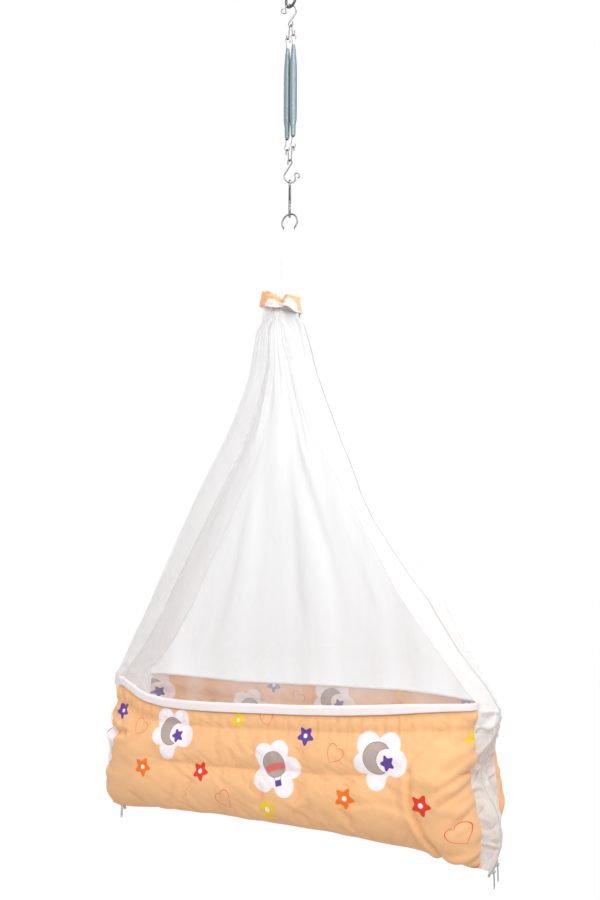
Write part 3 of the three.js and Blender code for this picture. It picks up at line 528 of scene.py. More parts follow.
@dataclass(frozen=True)
class PrintedCotton(Cotton):
    """Light orange cotton with pale clouds, moons, balloons and small stars."""

    cloud: Triple = (252, 243, 247)
    taupe: Triple = (186, 168, 160)
    edge: Triple = (120, 98, 96)
    purple: Triple = (103, 68, 160)
    red: Triple = (232, 62, 36)

    def sprinkles(self) -> list[Sprinkle]:
        """The small motifs between the clouds."""
        yellow, orange = (246, 208, 52), (250, 122, 28)
        star, heart = Motif.STAR, Motif.HEART
        return [
            Sprinkle(star, self.purple, (0.105, -0.075), 0.3, 0.0135),
            Sprinkle(star, yellow, (0.03, -0.215), 0.9, 0.0150),
            Sprinkle(star, orange, (0.190, -0.175), 0.1, 0.0150),
            Sprinkle(star, self.red, (0.335, -0.165), 1.3, 0.0145),
            Sprinkle(star, yellow, (0.415, -0.06), 0.5, 0.0125),
            Sprinkle(heart, self.red, (0.165, -0.105), 0.5, 0.016, 0.0011, False),
            Sprinkle(heart, self.red, (0.395, -0.215), -0.6, 0.017, 0.0011, False),
            Sprinkle(heart, self.red, (0.02, -0.055), -0.3, 0.014, 0.0011, False),
        ]

    def spot(self, finish: Finish, at: Pair, turn: float) -> Socket:
        """Coordinates about a repeated motif's middle, in metres.

        Args:
            finish: the material.
            at: the motif's place in the repeat.
            turn: how far it is turned, in radians.

        Returns:
            A vector that is zero at each motif's middle.
        """
        moved = finish.vector("SUBTRACT", finish.measure(), (at[0], at[1], 0))
        half = (PRINT_REPEAT[0] / 2, PRINT_REPEAT[1] / 2, 1.0)
        wrapped = finish.vector("WRAP", moved, half, (-half[0], -half[1], -1.0))
        settings = {"rotation_type": "Z_AXIS"}
        return finish.output("ShaderNodeVectorRotate", settings, {"Vector": wrapped, "Angle": turn})

    def reach(self, finish: Finish, spot: Socket, motif: Motif) -> Socket:
        """Distance from a motif's middle, stretched so that its edge lies at one value."""
        x, y, _ = finish.parts(spot)
        span = finish.vector("LENGTH", spot)
        if motif is Motif.STAR:
            wave = (y.math("ARCTAN2", x) * 5).math("COSINE")
            return span * (1 - wave * 0.24)
        if motif is Motif.HEART:
            lobe = (abs(x) * 0.012).math("SQRT") * 0.9
            return (x * x + (y * 1.15 - lobe).math("POWER", 2.0)).math("SQRT")
        return span

    def puff(self, finish: Finish, spot: Socket, lobes: Sequence[Triple]) -> Socket:
        """A cloud of round lobes, as a mask."""
        nearest: Socket | None = None
        for x, y, radius in lobes:
            reach = finish.vector("DISTANCE", spot, (x, y, 0)) - radius
            nearest = reach if nearest is None else nearest.math("SMOOTH_MIN", reach, 0.006)
        return nearest.inside(0.0, 0.0012)

    def moon(self, finish: Finish, spot: Socket, base: Socket) -> Socket:
        """A crescent moon with a purple star, on its cloud."""
        body = finish.vector("DISTANCE", spot, (-0.003, 0, 0))
        bite = finish.vector("DISTANCE", spot, (0.014, 0.006, 0))
        inner = body.inside(0.0265) * (1 - bite.inside(0.0205))
        outer = body.inside(0.0275) * (1 - bite.inside(0.0197))
        drawn = finish.blend(outer, base, paint(*self.edge))
        drawn = finish.blend(inner, drawn, paint(*self.taupe))
        moved = finish.vector("SUBTRACT", spot, (0.017, 0.003, 0))
        star = self.reach(finish, moved, Motif.STAR).inside(0.0105)
        return finish.blend(star, drawn, paint(*self.purple))

    def balloon(self, finish: Finish, spot: Socket, base: Socket) -> Socket:
        """A taupe balloon with a dotted red belt and a purple basket, on its cloud."""
        x, y, _ = finish.parts(spot)
        ball = finish.vector("DISTANCE", spot, (0, 0.008, 0))
        drawn = finish.blend(ball.inside(0.0240), base, paint(*self.edge))
        drawn = finish.blend(ball.inside(0.0230), drawn, paint(*self.taupe))
        belt = ball.inside(0.0230) * abs(y - 0.004 + x * x * 9).inside(0.0062)
        drawn = finish.blend(belt, drawn, paint(*self.red))
        turns = 2 * math.pi / 0.0058
        dots = ((x * turns).math("SINE") * (y * turns).math("SINE")).math("GREATER_THAN", 0.55)
        drawn = finish.blend(belt * dots, drawn, paint(*self.cloud))
        basket = abs(x).inside(0.0065) * abs(y + 0.0265).inside(0.0055)
        ropes = abs(abs(x) - 0.0055 + (y + 0.02) * -0.45).inside(0.0005)
        ropes = ropes * abs(y + 0.018).inside(0.0040)
        return finish.blend(basket.most(ropes), drawn, paint(*self.purple))

    def surface(self, finish: Finish) -> Socket:
        """Colour of the printed cloth."""
        colour = super().surface(finish)
        shapes = (
            ((0.255, -0.10), 0.5, self.moon,
             ((0, 0, 0.032), (0.030, 0.012, 0.022), (-0.030, 0.010, 0.022), (0.004, 0.032, 0.020),
              (0.012, -0.032, 0.019), (-0.022, -0.024, 0.017))),
            ((0.045, -0.14), -0.35, self.balloon,
             ((0, 0, 0.034), (0.033, -0.006, 0.020), (-0.030, -0.014, 0.022),
              (-0.014, 0.030, 0.021),
              (0.019, 0.029, 0.019), (0.010, -0.034, 0.020))),
        )
        for at, turn, picture, lobes in shapes:
            spot = self.spot(finish, at, turn)
            colour = finish.blend(self.puff(finish, spot, lobes), colour, paint(*self.cloud))
            colour = picture(finish, spot, colour)
        for item in self.sprinkles():
            spot = self.spot(finish, item.at, item.turn)
            reach = self.reach(finish, spot, item.motif)
            if item.line:
                mask = abs(reach - item.size).inside(item.line / 2)
            else:
                mask = reach.inside(item.size)
            colour = finish.blend(mask, colour, paint(*item.colour))
            if item.eyed:
                middle = finish.vector("LENGTH", spot).inside(item.size * 0.30)
                colour = finish.blend(middle, colour, paint(*self.cloud))
        return colour


@dataclass(frozen=True)
class Net:
    """Fine white net that shows what is behind it."""

    name: str
    colour: Triple
    cover: float

    def make(self) -> Material:
        """Builds the material."""
        finish = Finish(self.name)
        across, along, _ = finish.parts(finish.measure())
        turns = 2 * math.pi / (1.5 * MM)
        holes = (across * turns).math("SINE") * (along * turns).math("SINE")
        wide = finish.noise(finish.measure(), 11.0, 1.0, (1, 0.05, 1))
        narrow = finish.noise(finish.measure(), 30.0, 1.0, (1, 0.05, 1))
        streaks = (wide - 0.5) * 0.50 + (narrow - 0.5) * 0.10
        _, _, up = finish.parts(finish.place())
        high = ((up - RIM_LEVEL) / 0.838).math("MULTIPLY", 1.0, clamp=True)
        near = ((up - RIM_LEVEL) / 0.07).math("MULTIPLY", 1.0, clamp=True)
        streaks = streaks * (high * -0.55 + 1.0)
        cover = holes * 0.08 + streaks + near * 0.09 + (self.cover - 0.09)
        cover = cover.most(0.07).least(0.75)
        # Painted light and shade: the net's colour runs from grey at the rim to white at the top, lighter where it is
        # lit more.
        colour = finish.blend(high, paint(*self.colour), paint(255, 255, 255))
        finish.set(Base_Color=colour, Roughness=0.9, Alpha=cover, Specular_IOR_Level=0.1)
        finish.set(Sheen_Weight=0.1)
        finish.material.use_transparent_shadow = True
        return finish.material


@dataclass(frozen=True)
class Metal:
    """Drawn or plated steel."""

    name: str
    colour: Triple
    dull: Triple
    rough: float
    # Edge tint of the gloss. The zinc's near-black tint paints shade on the grazing sides of its wire.
    edge: Triple = (120, 122, 124)

    def make(self) -> Material:
        """Builds the material."""
        finish = Finish(self.name)
        patches = finish.noise(finish.place(), 90.0, 4.0)
        drawn = finish.noise(finish.place(), 700.0, 2.0, (1, 1, 0.2))
        colour = finish.blend(patches * 0.8 + drawn * 0.2, paint(*self.colour), paint(*self.dull))
        rough = patches * 0.22 + (self.rough - 0.08)
        finish.set(Base_Color=colour, Metallic=1.0, Roughness=rough,
                   Specular_Tint=paint(*self.edge))
        finish.bump(drawn, 0.04 * MM)
        return finish.material


@dataclass(frozen=True)
class Nylon:
    """Woven nylon tape with a fine rib."""

    name: str
    colour: Triple

    def make(self) -> Material:
        """Builds the material."""
        finish = Finish(self.name)
        across, along, _ = finish.parts(finish.measure())
        ribs = (along * (2 * math.pi / (0.9 * MM))).math("SINE") * 0.5 + 0.5
        grain = finish.noise(finish.place(), 300.0)
        low = tuple(value * 0.94 for value in self.colour)
        colour = finish.blend(grain, paint(*self.colour), paint(*low))
        finish.set(Base_Color=colour, Roughness=grain * 0.2 + 0.4)
        finish.bump(ribs, 0.12 * MM)
        return finish.material


@dataclass(frozen=True)
class Board:
    """Pressed brown board."""

    name: str
    colour: Triple

    def make(self) -> Material:
        """Builds the material."""
        finish = Finish(self.name)
        fibres = finish.noise(finish.place(), 260.0, 4.0, (0.4, 1, 1))
        low = tuple(value * 0.8 for value in self.colour)
        colour = finish.blend(fibres, paint(*self.colour), paint(*low))
        finish.set(Base_Color=colour, Roughness=fibres * 0.3 + 0.5)
        finish.bump(fibres, 0.2 * MM)
        return finish.material


@dataclass(frozen=True)
class CradleForm:
    """The lines that the cloth pieces share, measured from the rim's level."""

    half_length: float = 0.455
    seam_inset: float = 0.034
    rim_half_depth: float = 0.125
    half_depth: float = 0.133
    corner: float = 0.062
    taper: float = 0.250
    foot_radius: float = 0.045
    canopy_height: float = 0.838
    top_half_length: float = 0.0475
    band_shift: float = -0.020
    seam_depth_low: float = 0.056
    seam_depth_top: float = 0.0055
    tape_edge: float = 0.0037
    fold_depth: float = 0.034
    fold_drop: float = 0.150
    arc_radius: float = 0.126
    arc_drop: float = 0.223
    full: float = 0.9
    zip_inset: float = 0.0055
    arc_top: float = -0.182
    fold_low: float = -0.122
    fold_x: float = 0.4105

    @property
    def seam_x(self) -> float:
        """Place of the end seams below the rim."""
        return self.half_length - self.seam_inset

    def rise(self, height: Array) -> Array:
        """Share of the canopy's height."""
        return np.clip(height / self.canopy_height, 0, 1)

    def end_line(self, height: Array) -> Array:
        """Half the canopy's length at its zips."""
        rows = ((0, 1), (0.1, 0.895), (0.2, 0.784), (0.385, 0.6), (0.53, 0.443), (0.635, 0.315),
                (0.7, 0.247), (0.785, 0.162), (0.84, 0.109), (0.91, 0.065), (0.96, 0.036),
                (0.985, 0), (1, 0))
        return mixed(self.top_half_length, self.half_length, table(rows, self.rise(height)))

    def shift(self, height: Array) -> Array:
        """How far the canopy leans towards the band."""
        rows = ((0, 0), (0.7, 0), (0.785, 0.25), (0.84, 0.42), (0.96, 1), (1, 1))
        return self.band_shift * table(rows, self.rise(height))

    def seam_depth(self, height: Array) -> Array:
        """Distance of the seams from the middle plane."""
        rows = ((0, 1), (0.26, 0.98), (0.6, 0.77), (0.785, 0.5), (0.91, 0.27), (1, 0))
        return mixed(self.seam_depth_top, self.seam_depth_low, table(rows, self.rise(height)))

    def pull(self, height: Array, end: int, side: int) -> Array:
        """How far a seam below the rim is drawn towards the cradle's middle."""
        left = ((-0.26, 0.010), (-0.19, 0.008), (-0.14, 0.013), (-0.10, 0.017), (-0.03, 0.021),
                (0, 0.023))
        right = ((-0.263, 0.006), (-0.202, 0.007), (-0.172, 0.015), (-0.143, 0.024),
                 (-0.095, 0.024), (-0.078, 0.012), (-0.031, 0.010), (0, 0))
        behind = ((-0.275, 0.0), (-0.245, -0.003), (-0.21, -0.010), (-0.177, -0.010),
                  (-0.158, -0.0085), (-0.136, -0.006), (-0.107, -0.004), (-0.081, -0.006),
                  (-0.055, -0.010), (-0.029, -0.007), (0, 0))
        return table(left if end < 0 else right if side < 0 else behind, height)

    def stretch(self, reach: Array, height: Array, side: int) -> Array:
        """Place along X of a share of the cradle's length."""
        slack = self.pull(height, -1, side)
        x = slack / 2 + reach * (self.seam_x - slack / 2)
        return x - self.pull(height, 1, side) * np.clip(reach, 0, 1) ** 11

    def seam_line(self, height: Array, end: int, side: int) -> Array:
        """Place along X of the seams of the strips, at the left (-1) or right (1)."""
        right = ((0, 1), (0.024, 0.76), (0.04, 1.0), (0.1, 1.36), (0.26, 2.18), (0.42, 2.45),
                 (0.6, 2.59), (0.785, 2.1), (0.91, 1.7), (1, 1.4))
        left = ((0, 1.68), (0.017, 1.5), (0.05, 1.9), (0.1, 2.3), (0.2, 2.5), (0.26, 2.5),
                (0.42, 2.65), (0.6, 2.62), (0.785, 1.94), (0.91, 1.3), (1, 0.7))
        inset = self.seam_inset * table(right if end > 0 else left, self.rise(height))
        line = self.end_line(height) - inset
        if end > 0 and side > 0:
            line = self.zip_line(height, end) + table(
                ((0, -0.0285), (0.04, -0.0124), (0.067, -0.0056), (0.11, 0.0015), (0.157, 0.008),
                 (0.21, 0.016), (0.29, 0.024), (0.45, 0.026), (0.62, 0.012), (0.70, -0.010),
                 (0.77, -0.030), (0.838, -0.0476)), height)
        above = self.shift(height) + end * line
        return np.where(height >= 0, above, end * (self.seam_x - self.pull(height, end, side)))

    def zip_line(self, height: Array, end: int) -> Array:
        """Place of a zip along X: up the canopy, in at the fold and down an arc.

        Args:
            height: heights over the rim.
            end: -1 for the left end, 1 for the right.

        Returns:
            The zip's distance from the middle of the cradle.
        """
        rise = self.arc_drop - self.fold_drop
        middle = self.seam_x + (self.seam_inset - self.fold_depth)
        middle = middle - math.sqrt(self.arc_radius**2 - rise**2)
        arc = middle + np.sqrt(np.clip(self.arc_radius**2 - (height + self.arc_drop) ** 2, 1e-9,
                                       None))
        share = np.clip((height - self.arc_top) / (self.fold_low - self.arc_top), 0, 1)
        start = middle + math.sqrt(self.arc_radius**2 - (self.arc_top + self.arc_drop) ** 2)
        slope = -(self.arc_top + self.arc_drop) / (start - middle) * (self.fold_low - self.arc_top)
        bend = mixed(start, self.fold_x, eased(share)) + slope * share * (1 - share) ** 2
        folded = mixed(self.fold_x, self.half_length - self.zip_inset,
                       eased((height - self.fold_low) / -self.fold_low))
        twist = ((0, 0), (0.043, 0.003), (0.073, 0.013), (0.104, 0.021), (0.157, 0.026),
                 (0.2, 0.030), (0.24, 0.043), (0.3, 0.056), (0.36, 0.065), (0.42, 0.063),
                 (0.5, 0.046), (0.62, 0.030), (0.75, 0.009), (0.838, 0))
        above = self.end_line(height) - self.zip_inset * eased((0.93 - self.rise(height)) / 0.3)
        above = above - (table(twist, height) if end > 0 else 0.0)
        below = np.where(height >= self.fold_low, folded,
                         np.where(height >= self.arc_top, bend, arc))
        return np.where(height >= 0, above, below)

    def rim(self, x: Array, side: int) -> Array:
        """Height of the rim line along X, at the front (-1) or back (1)."""
        front = ((-0.421, 0.004), (-0.368, 0.006), (-0.339, -0.003), (-0.313, -0.013),
                 (-0.288, -0.019), (-0.234, -0.024), (-0.166, -0.023), (-0.082, -0.019),
                 (0, -0.014), (0.09, -0.009), (0.175, -0.003), (0.251, 0.004), (0.321, 0.011),
                 (0.378, 0.015), (0.421, 0.016))
        back = ((-0.421, -0.001), (-0.292, -0.008), (-0.183, -0.012), (-0.03, -0.008),
                (0.134, -0.003), (0.215, 0.0), (0.29, -0.001), (0.365, -0.004), (0.421, -0.002))
        return table(front if side < 0 else back, x)

    def foot(self, x: Array) -> Array:
        """Height of the walls' foot along X."""
        rows = ((-0.421, -0.259), (-0.38, -0.262), (-0.34, -0.259), (-0.29, -0.251),
                (-0.24, -0.243), (-0.19, -0.239), (-0.098, -0.233), (0, -0.233), (0.13, -0.231),
                (0.2, -0.231), (0.254, -0.234), (0.3, -0.235), (0.341, -0.239), (0.38, -0.248),
                (0.409, -0.257), (0.421, -0.259))
        return table(rows, x)

    def boat(self, across: Array, half_depth: Any, seam_at: Any) -> tuple[Array, Array]:
        """Outline of a net or the rim in plan, as reach along X and depth from the middle plane."""
        side = 2 * across - 1
        angle = (1 - np.abs(side)) * math.pi / 2
        reach = np.clip(np.cos(angle), 0, 1) ** self.full
        return np.sign(side) * reach, mixed(seam_at, half_depth, np.sin(angle) ** self.full)

    def tub(self, across: Array, seam_at: float) -> tuple[Array, Array]:
        """Outline of the lower body in plan: tapered at the left and boxy at the right."""
        side = 2 * across - 1
        inward = 1 - np.abs(side)
        boxy = side > 0
        length = np.where(boxy, self.corner, self.taper)
        corner_x = self.seam_x - length
        corner_depth = np.where(boxy, self.half_depth - self.corner, seam_at)
        flat = np.where(boxy, 0.125, 0.0)
        angle = math.pi / 2 * np.clip((inward - flat) / (0.5 - flat), 0, 1)
        x = np.sign(side) * (corner_x + length * np.cos(angle))
        depth = mixed(corner_depth, self.half_depth, np.sin(angle))
        straight = inward > 0.5
        x = np.where(straight, np.sign(side) * corner_x * (1 - inward) / 0.5, x)
        ending = boxy & (inward < flat)
        depth = np.where(ending, mixed(seam_at, corner_depth, inward / 0.125), depth)
        return x, depth


FORM = CradleForm()


@dataclass(frozen=True)
class Puff:
    """How a padded piece is puffed.

    The cloth is longer than its shape by the growth, and no point moves further than the cap.
    """

    pressure: float
    growth: float
    frames: int
    cap: float


WALL_PUFF = Puff(3.5, 0.013, 16, 0.006)
MATTRESS_PUFF = Puff(1.2, 0.01, 12, 0.004)


class Tailor:
    """Makes the meshes of cloth and wire pieces."""

    @staticmethod
    def piece(name: str, mesh: bpy.types.Mesh, finish: Material, smooth: bool = True) -> Piece:
        """Puts a mesh into the scene under a name."""
        mesh.materials.append(finish)
        if smooth:
            mesh.shade_smooth()
        made = bpy.data.objects.new(name, mesh)
        bpy.context.scene.collection.objects.link(made)
        return made

    @staticmethod
    def meshed(body: bmesh.types.BMesh, name: str) -> bpy.types.Mesh:
        """Turns finished bmesh work into a mesh."""
        mesh = bpy.data.meshes.new(name)
        body.to_mesh(mesh)
        body.free()
        return mesh

    @staticmethod
    def points(mesh: bpy.types.Mesh) -> Points:
        """Reads a mesh's points."""
        flat = np.zeros(len(mesh.vertices) * 3)
        mesh.vertices.foreach_get("co", flat)
        return flat.reshape(-1, 3)

    @staticmethod
    def move(mesh: bpy.types.Mesh, places: Points) -> None:
        """Writes a mesh's points."""
        mesh.vertices.foreach_set("co", np.ascontiguousarray(places, np.float32).ravel())
        mesh.update()

    @staticmethod
    def grid(name: str, columns: int, rows: int, layers: Sequence[Surface], measure: Surface,
             finish: Material, wrapped: bool = False, level: float = RIM_LEVEL) -> Piece:
        """Makes an open sheet from one surface, or a closed shell between two.

        Args:
            name: the piece's name.
            columns: faces across.
            rows: faces along.
            layers: one or two surfaces of shares across and along.
            measure: cloth coordinates of the same shares, in metres.
            finish: the material.
            wrapped: joins the last column to the first.
            level: height that the surfaces start from.

        Returns:
            The new object.
        """
        body = bmesh.new()
        for depth, _ in enumerate(layers):
            lift = Matrix.Translation((0, 0, -depth))
            bmesh.ops.create_grid(body, x_segments=columns, y_segments=rows, size=0.5, matrix=lift)
        if len(layers) == 2:
            bmesh.ops.bridge_loops(body, edges=[edge for edge in body.edges if edge.is_boundary])
        mesh = Tailor.meshed(body, name)
        flat = Tailor.points(mesh)
        across, along = flat[:, 0] + 0.5, flat[:, 1] + 0.5
        places = layers[0](across, along)
        if len(layers) == 2:
            places = np.where((flat[:, 2] < -0.5)[:, None], layers[1](across, along), places)
        Tailor.move(mesh, places + np.array((0, 0, level)))
        chart = mesh.uv_layers.new(name="cloth")
        corners = np.zeros(len(mesh.loops), int)
        mesh.loops.foreach_get("vertex_index", corners)
        chart.data.foreach_set("uv", measure(across, along)[corners].ravel().astype(np.float32))
        Tailor.close(mesh, wrapped, len(layers) == 2)
        return Tailor.piece(name, mesh, finish)

    @staticmethod
    def close(mesh: bpy.types.Mesh, merged: bool, outward: bool) -> None:
        """Merges doubled points and turns the faces outwards."""
        body = bmesh.new()
        body.from_mesh(mesh)
        if merged:
            bmesh.ops.remove_doubles(body, verts=body.verts, dist=1e-6)
        if outward:
            bmesh.ops.recalc_face_normals(body, faces=body.faces)
        body.to_mesh(mesh)
        body.free()

    @staticmethod
    def thicken(piece: Piece, thickness: float, offset: float = 0.0) -> None:
        """Gives an open sheet its thickness."""
        modifier = piece.modifiers.new("thickness", "SOLIDIFY")
        modifier.thickness, modifier.offset = thickness, offset

    @staticmethod
    def refine(piece: Piece, levels: int = 1) -> None:
        """Adds a subdivision surface."""
        modifier = piece.modifiers.new("refined", "SUBSURF")
        modifier.levels = modifier.render_levels = levels

    @staticmethod
    def raised(base: Surface, height: Callable[[Array, Array], Array],
               turn: float = 1.0) -> Surface:
        """A surface moved along its normal.

        Args:
            base: the surface.
            height: how far each place moves.
            turn: 1 or -1, which picks the side.

        Returns:
            The moved surface.
        """
        step = 0.002

        def moved(across: Array, along: Array) -> Points:
            """Point of the moved surface."""
            right, left = np.clip(across + step, 0, 1), np.clip(across - step, 0, 1)
            after, before = np.clip(along + step, 0, 1), np.clip(along - step, 0, 1)
            normal = np.cross(base(right, along) - base(left, along),
                              base(across, after) - base(across, before))
            normal /= np.linalg.norm(normal, axis=1)[:, None] + 1e-12
            return base(across, along) + normal * (turn * height(across, along))[:, None]

        return moved

    @staticmethod
    def sweep(name: str, line: Points, radius: float, finish: Material, sides: int = 12,
              closed: bool = False) -> Piece:
        """Draws a round wire along a line of points.

        Args:
            name: the piece's name.
            line: the wire's middle line.
            radius: half the wire's thickness.
            finish: the material.
            sides: faces round the wire.
            closed: joins the wire's end to its start.

        Returns:
            The new object.
        """
        points = [Vector(point) for point in line]
        count = len(points)
        heads = [points[(i + 1) % count if closed else min(i + 1, count - 1)] for i in range(count)]
        tails = [points[(i - 1) % count if closed else max(i - 1, 0)] for i in range(count)]
        ways = [(head - tail).normalized() for head, tail in zip(heads, tails)]
        turn = Vector((0, 0, 1)).rotation_difference(ways[0]).to_matrix()
        body = bmesh.new()
        ring = bmesh.ops.create_circle(body, segments=sides, radius=radius)["verts"]
        bmesh.ops.transform(body, matrix=Matrix.Translation(points[0]) @ turn.to_4x4(), verts=ring)
        first = edges = list(body.edges)
        if not closed:
            bmesh.ops.contextual_create(body, geom=first)
        for index in range(1, count):
            turned = ways[index - 1].rotation_difference(ways[index]).to_matrix()
            made = bmesh.ops.extrude_edge_only(body, edges=edges)["geom"]
            edges = [item for item in made if isinstance(item, bmesh.types.BMEdge)]
            ring = [item for item in made if isinstance(item, bmesh.types.BMVert)]
            back = Matrix.Translation(-points[index - 1])
            onward = Matrix.Translation(points[index]) @ turned.to_4x4() @ back
            bmesh.ops.transform(body, matrix=onward, verts=ring)
        if closed:
            bmesh.ops.bridge_loops(body, edges=first + edges)
        else:
            bmesh.ops.contextual_create(body, geom=edges)
        bmesh.ops.recalc_face_normals(body, faces=body.faces)
        mesh = Tailor.meshed(body, name)
        return Tailor.piece(name, mesh, finish)

    @staticmethod
    def beads(name: str, places: Points, ways: Points, outs: Points, size: Sequence[float],
              finish: Material) -> Piece:
        """Sets many small six-sided beads, such as stitches or zip teeth.

        Args:
            name: the piece's name.
            places: each bead's middle.
            ways: the direction of each bead's length.
            outs: the direction away from the cloth.
            size: a bead's length, width and thickness.
            finish: the material.

        Returns:
            The new object.
        """
        body = bmesh.new()
        length, width, thickness = size
        for place, way, out in zip(places, ways, outs):
            forward = Vector(way).normalized()
            side = Vector(out).cross(forward).normalized()
            up = forward.cross(side)
            frame = Matrix((side * width / 2, up * thickness / 2,
                            forward * length)).transposed().to_4x4()
            bmesh.ops.create_cone(body, segments=6, radius1=1.0, radius2=1.0, depth=0.64,
                                  cap_ends=True,
                                  matrix=Matrix.Translation(place) @ frame)
        mesh = Tailor.meshed(body, name)
        return Tailor.piece(name, mesh, finish)

    @staticmethod
    def mark_painted_shade(piece: Piece, reach: float = 3.5 * MM) -> None:
        """Marks the hollows of a piece's cloth, from 0 to 1, where its finish paints shade.

        Args:
            piece: the piece.
            reach: radius of the tightest hollow that is marked fully.
        """
        body = bmesh.new()
        body.from_mesh(piece.data)
        body.normal_update()
        marks = np.zeros(len(body.verts))
        for place in body.verts:
            if not place.link_edges or place.is_boundary:
                continue
            around = [edge.other_vert(place).co for edge in place.link_edges]
            middle = sum(around, Vector()) / len(around)
            span = sum((spot - place.co).length_squared for spot in around) / len(around)
            marks[place.index] = 2 * (middle - place.co).dot(place.normal) / max(span, 1e-9)
        body.free()
        marks = np.clip(marks * reach, 0, 1)
        # The groove attribute feeds the painted shade of the finish.
        made = piece.data.attributes.new("groove", "FLOAT", "POINT")
        made.data.foreach_set("value", marks.astype(np.float32))

    @staticmethod
    def inflate(piece: Piece, sewn: Array, puff: Puff) -> None:
        """Puffs a closed piece with a cloth simulation, and keeps the result in its mesh.

        Args:
            piece: the closed piece.
            sewn: how firmly each point is held, from 0 to 1.
            puff: how the piece is puffed.
        """
        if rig.quick():
            return
        start = Tailor.points(piece.data)
        group = piece.vertex_groups.new(name="sewn")
        for index in np.nonzero(sewn > 0.02)[0]:
            group.add([int(index)], float(min(sewn[index], 1.0)), "REPLACE")
        cloth = piece.modifiers.new("cloth", "CLOTH")
        settings = cloth.settings
        settings.quality, settings.mass = 5, 0.15
        settings.tension_stiffness = settings.compression_stiffness = 12
        settings.shear_stiffness, settings.bending_stiffness = 5, 0.4
        settings.vertex_group_mass, settings.shrink_min = group.name, -puff.growth
        settings.use_pressure, settings.uniform_pressure_force = True, puff.pressure
        settings.effector_weights.gravity = 0
        cloth.point_cache.frame_start, cloth.point_cache.frame_end = 1, puff.frames
        scene = bpy.context.scene
        for frame in range(1, puff.frames + 1):
            scene.frame_set(frame)
        solved = piece.evaluated_get(bpy.context.evaluated_depsgraph_get())
        end = Tailor.points(solved.data)
        scene.frame_set(1)
        piece.modifiers.remove(cloth)
        piece.vertex_groups.remove(group)
        moved = end - start
        reach = np.linalg.norm(moved, axis=1)[:, None] + 1e-12
        Tailor.move(piece.data, start + moved * np.minimum(1, puff.cap / reach))
        log.info("%s puffed by up to %.1f mm", piece.name, float(reach.max()) * 1000)

    @staticmethod
    def softened(node: str, name: str, finish: Material, width: float) -> Piece:
        """A copy of a small CAD piece with rounded edges."""
        body = bmesh.new()
        body.from_mesh(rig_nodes()[node].data)
        bmesh.ops.remove_doubles(body, verts=body.verts, dist=1e-6)
        bmesh.ops.dissolve_limit(body, angle_limit=0.02, verts=body.verts, edges=body.edges)
        sharp = [edge for edge in body.edges if edge.is_manifold and edge.calc_face_angle() > 0.5]
        bmesh.ops.bevel(body, geom=sharp, offset=width, segments=2, profile=0.5, affect="EDGES",
                        material=-1,
                        clamp_overlap=True)
        mesh = Tailor.meshed(body, name)
        made = Tailor.piece(name, mesh, finish)
        mesh.set_sharp_from_angle(angle=math.radians(40))
        return made


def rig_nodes() -> dict[str, Piece]:
    """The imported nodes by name."""
    return {o["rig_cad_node"]: o for o in bpy.data.objects if "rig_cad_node" in o}


def dressed(piece: Piece, body: str, slot: str, *nodes: str) -> Piece:
    """Says what a piece rides on, which slot it has and which nodes it stands for."""
    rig.ride(piece, body)
    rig.slot(piece, slot)
    if nodes:
        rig.replaces(piece, *nodes)
    log.info("%s: %d faces", piece.name, len(piece.data.polygons))
    return piece


class Wardrobe:
    """Every finish of the cradle, made once."""

    def __init__(self) -> None:
        """Builds the materials."""
        white, grey = (250, 248, 248), (239, 235, 236)
        orange, deep = (249, 195, 143), (244, 184, 130)
        self.white = Cotton("white_cotton", white, grey, glow=1.0, depth=4 * MM).make()
        self.end = EndCotton("end_cotton", white, grey, glow=1.0, depth=4 * MM).make()
        self.tape = Cotton("rim_tape", (247, 238, 238), (240, 228, 227), 0.8 * MM).make()
        self.print = PrintedCotton("printed_orange_cotton", orange, deep).make()
        self.mattress = Cotton("mattress_cotton", (243, 239, 232), (234, 229, 221), 0.7 * MM).make()
        self.thread = Cotton("orange_thread", (226, 150, 86), (212, 136, 74), 0.3 * MM,
                             0.1 * MM).make()
        self.pale_thread = Cotton("pale_thread", (232, 229, 230), (220, 217, 218), 0.3 * MM,
                                  0.1 * MM).make()
        self.net = Net("net_cloth", (238, 237, 239), 0.22).make()
        # deep keeps the painted fold shade on the strap light.
        self.strap = Cotton("strap_cotton", (254, 254, 255), (250, 250, 251), deep=0.93).make()
        self.dark_steel = Metal("dark_steel", (112, 114, 112), (78, 80, 80), 0.34).make()
        self.steel = Metal("bright_steel", (160, 162, 160), (118, 120, 120), 0.30).make()
        # The zinc's near-black edge tint is painted shade: it darkens the spring's sides, standing in for dark
        # surroundings in its reflection.
        self.zinc = Metal("zinc_spring", (176, 192, 198), (150, 165, 172), 0.42,
                          (16, 22, 26)).make()
        self.nickel = Metal("zip_metal", (205, 205, 205), (170, 170, 172), 0.30).make()
        self.nylon = Nylon("zip_nylon", (226, 224, 222)).make()
        self.teeth = Nylon("zip_teeth", (138, 127, 118)).make()
        self.board = Board("hardboard", (156, 120, 84)).make()


def flat_chart(width: float, length: float, start: Pair = (0.0, 0.0)) -> Surface:
    """Cloth coordinates of a plain rectangle of cloth."""
    return lambda across, along: np.stack([across * width + start[0], along * length + start[1]],
                                          axis=1)


def arc(centre: Pair, radius: float, start: float, end: float, steps: int) -> list[Vector]:
    """Points of an arc in the XZ plane, between two angles in degrees."""
    angles = [math.radians(mixed(start, end, index / steps)) for index in range(steps + 1)]
    return [Vector((centre[0] + radius * math.cos(a), 0, centre[1] + radius * math.sin(a)))
            for a in angles]


def rounded(corners: Sequence[Vector], passes: int = 2) -> list[Vector]:
    """Smooths the bends of a line but keeps its ends."""
    line = list(corners)
    for _ in range(passes):
        middles = [(a + 2 * b + c) / 4 for a, b, c in zip(line, line[1:], line[2:])]
        line = [line[0], *middles, line[-1]]
    return line


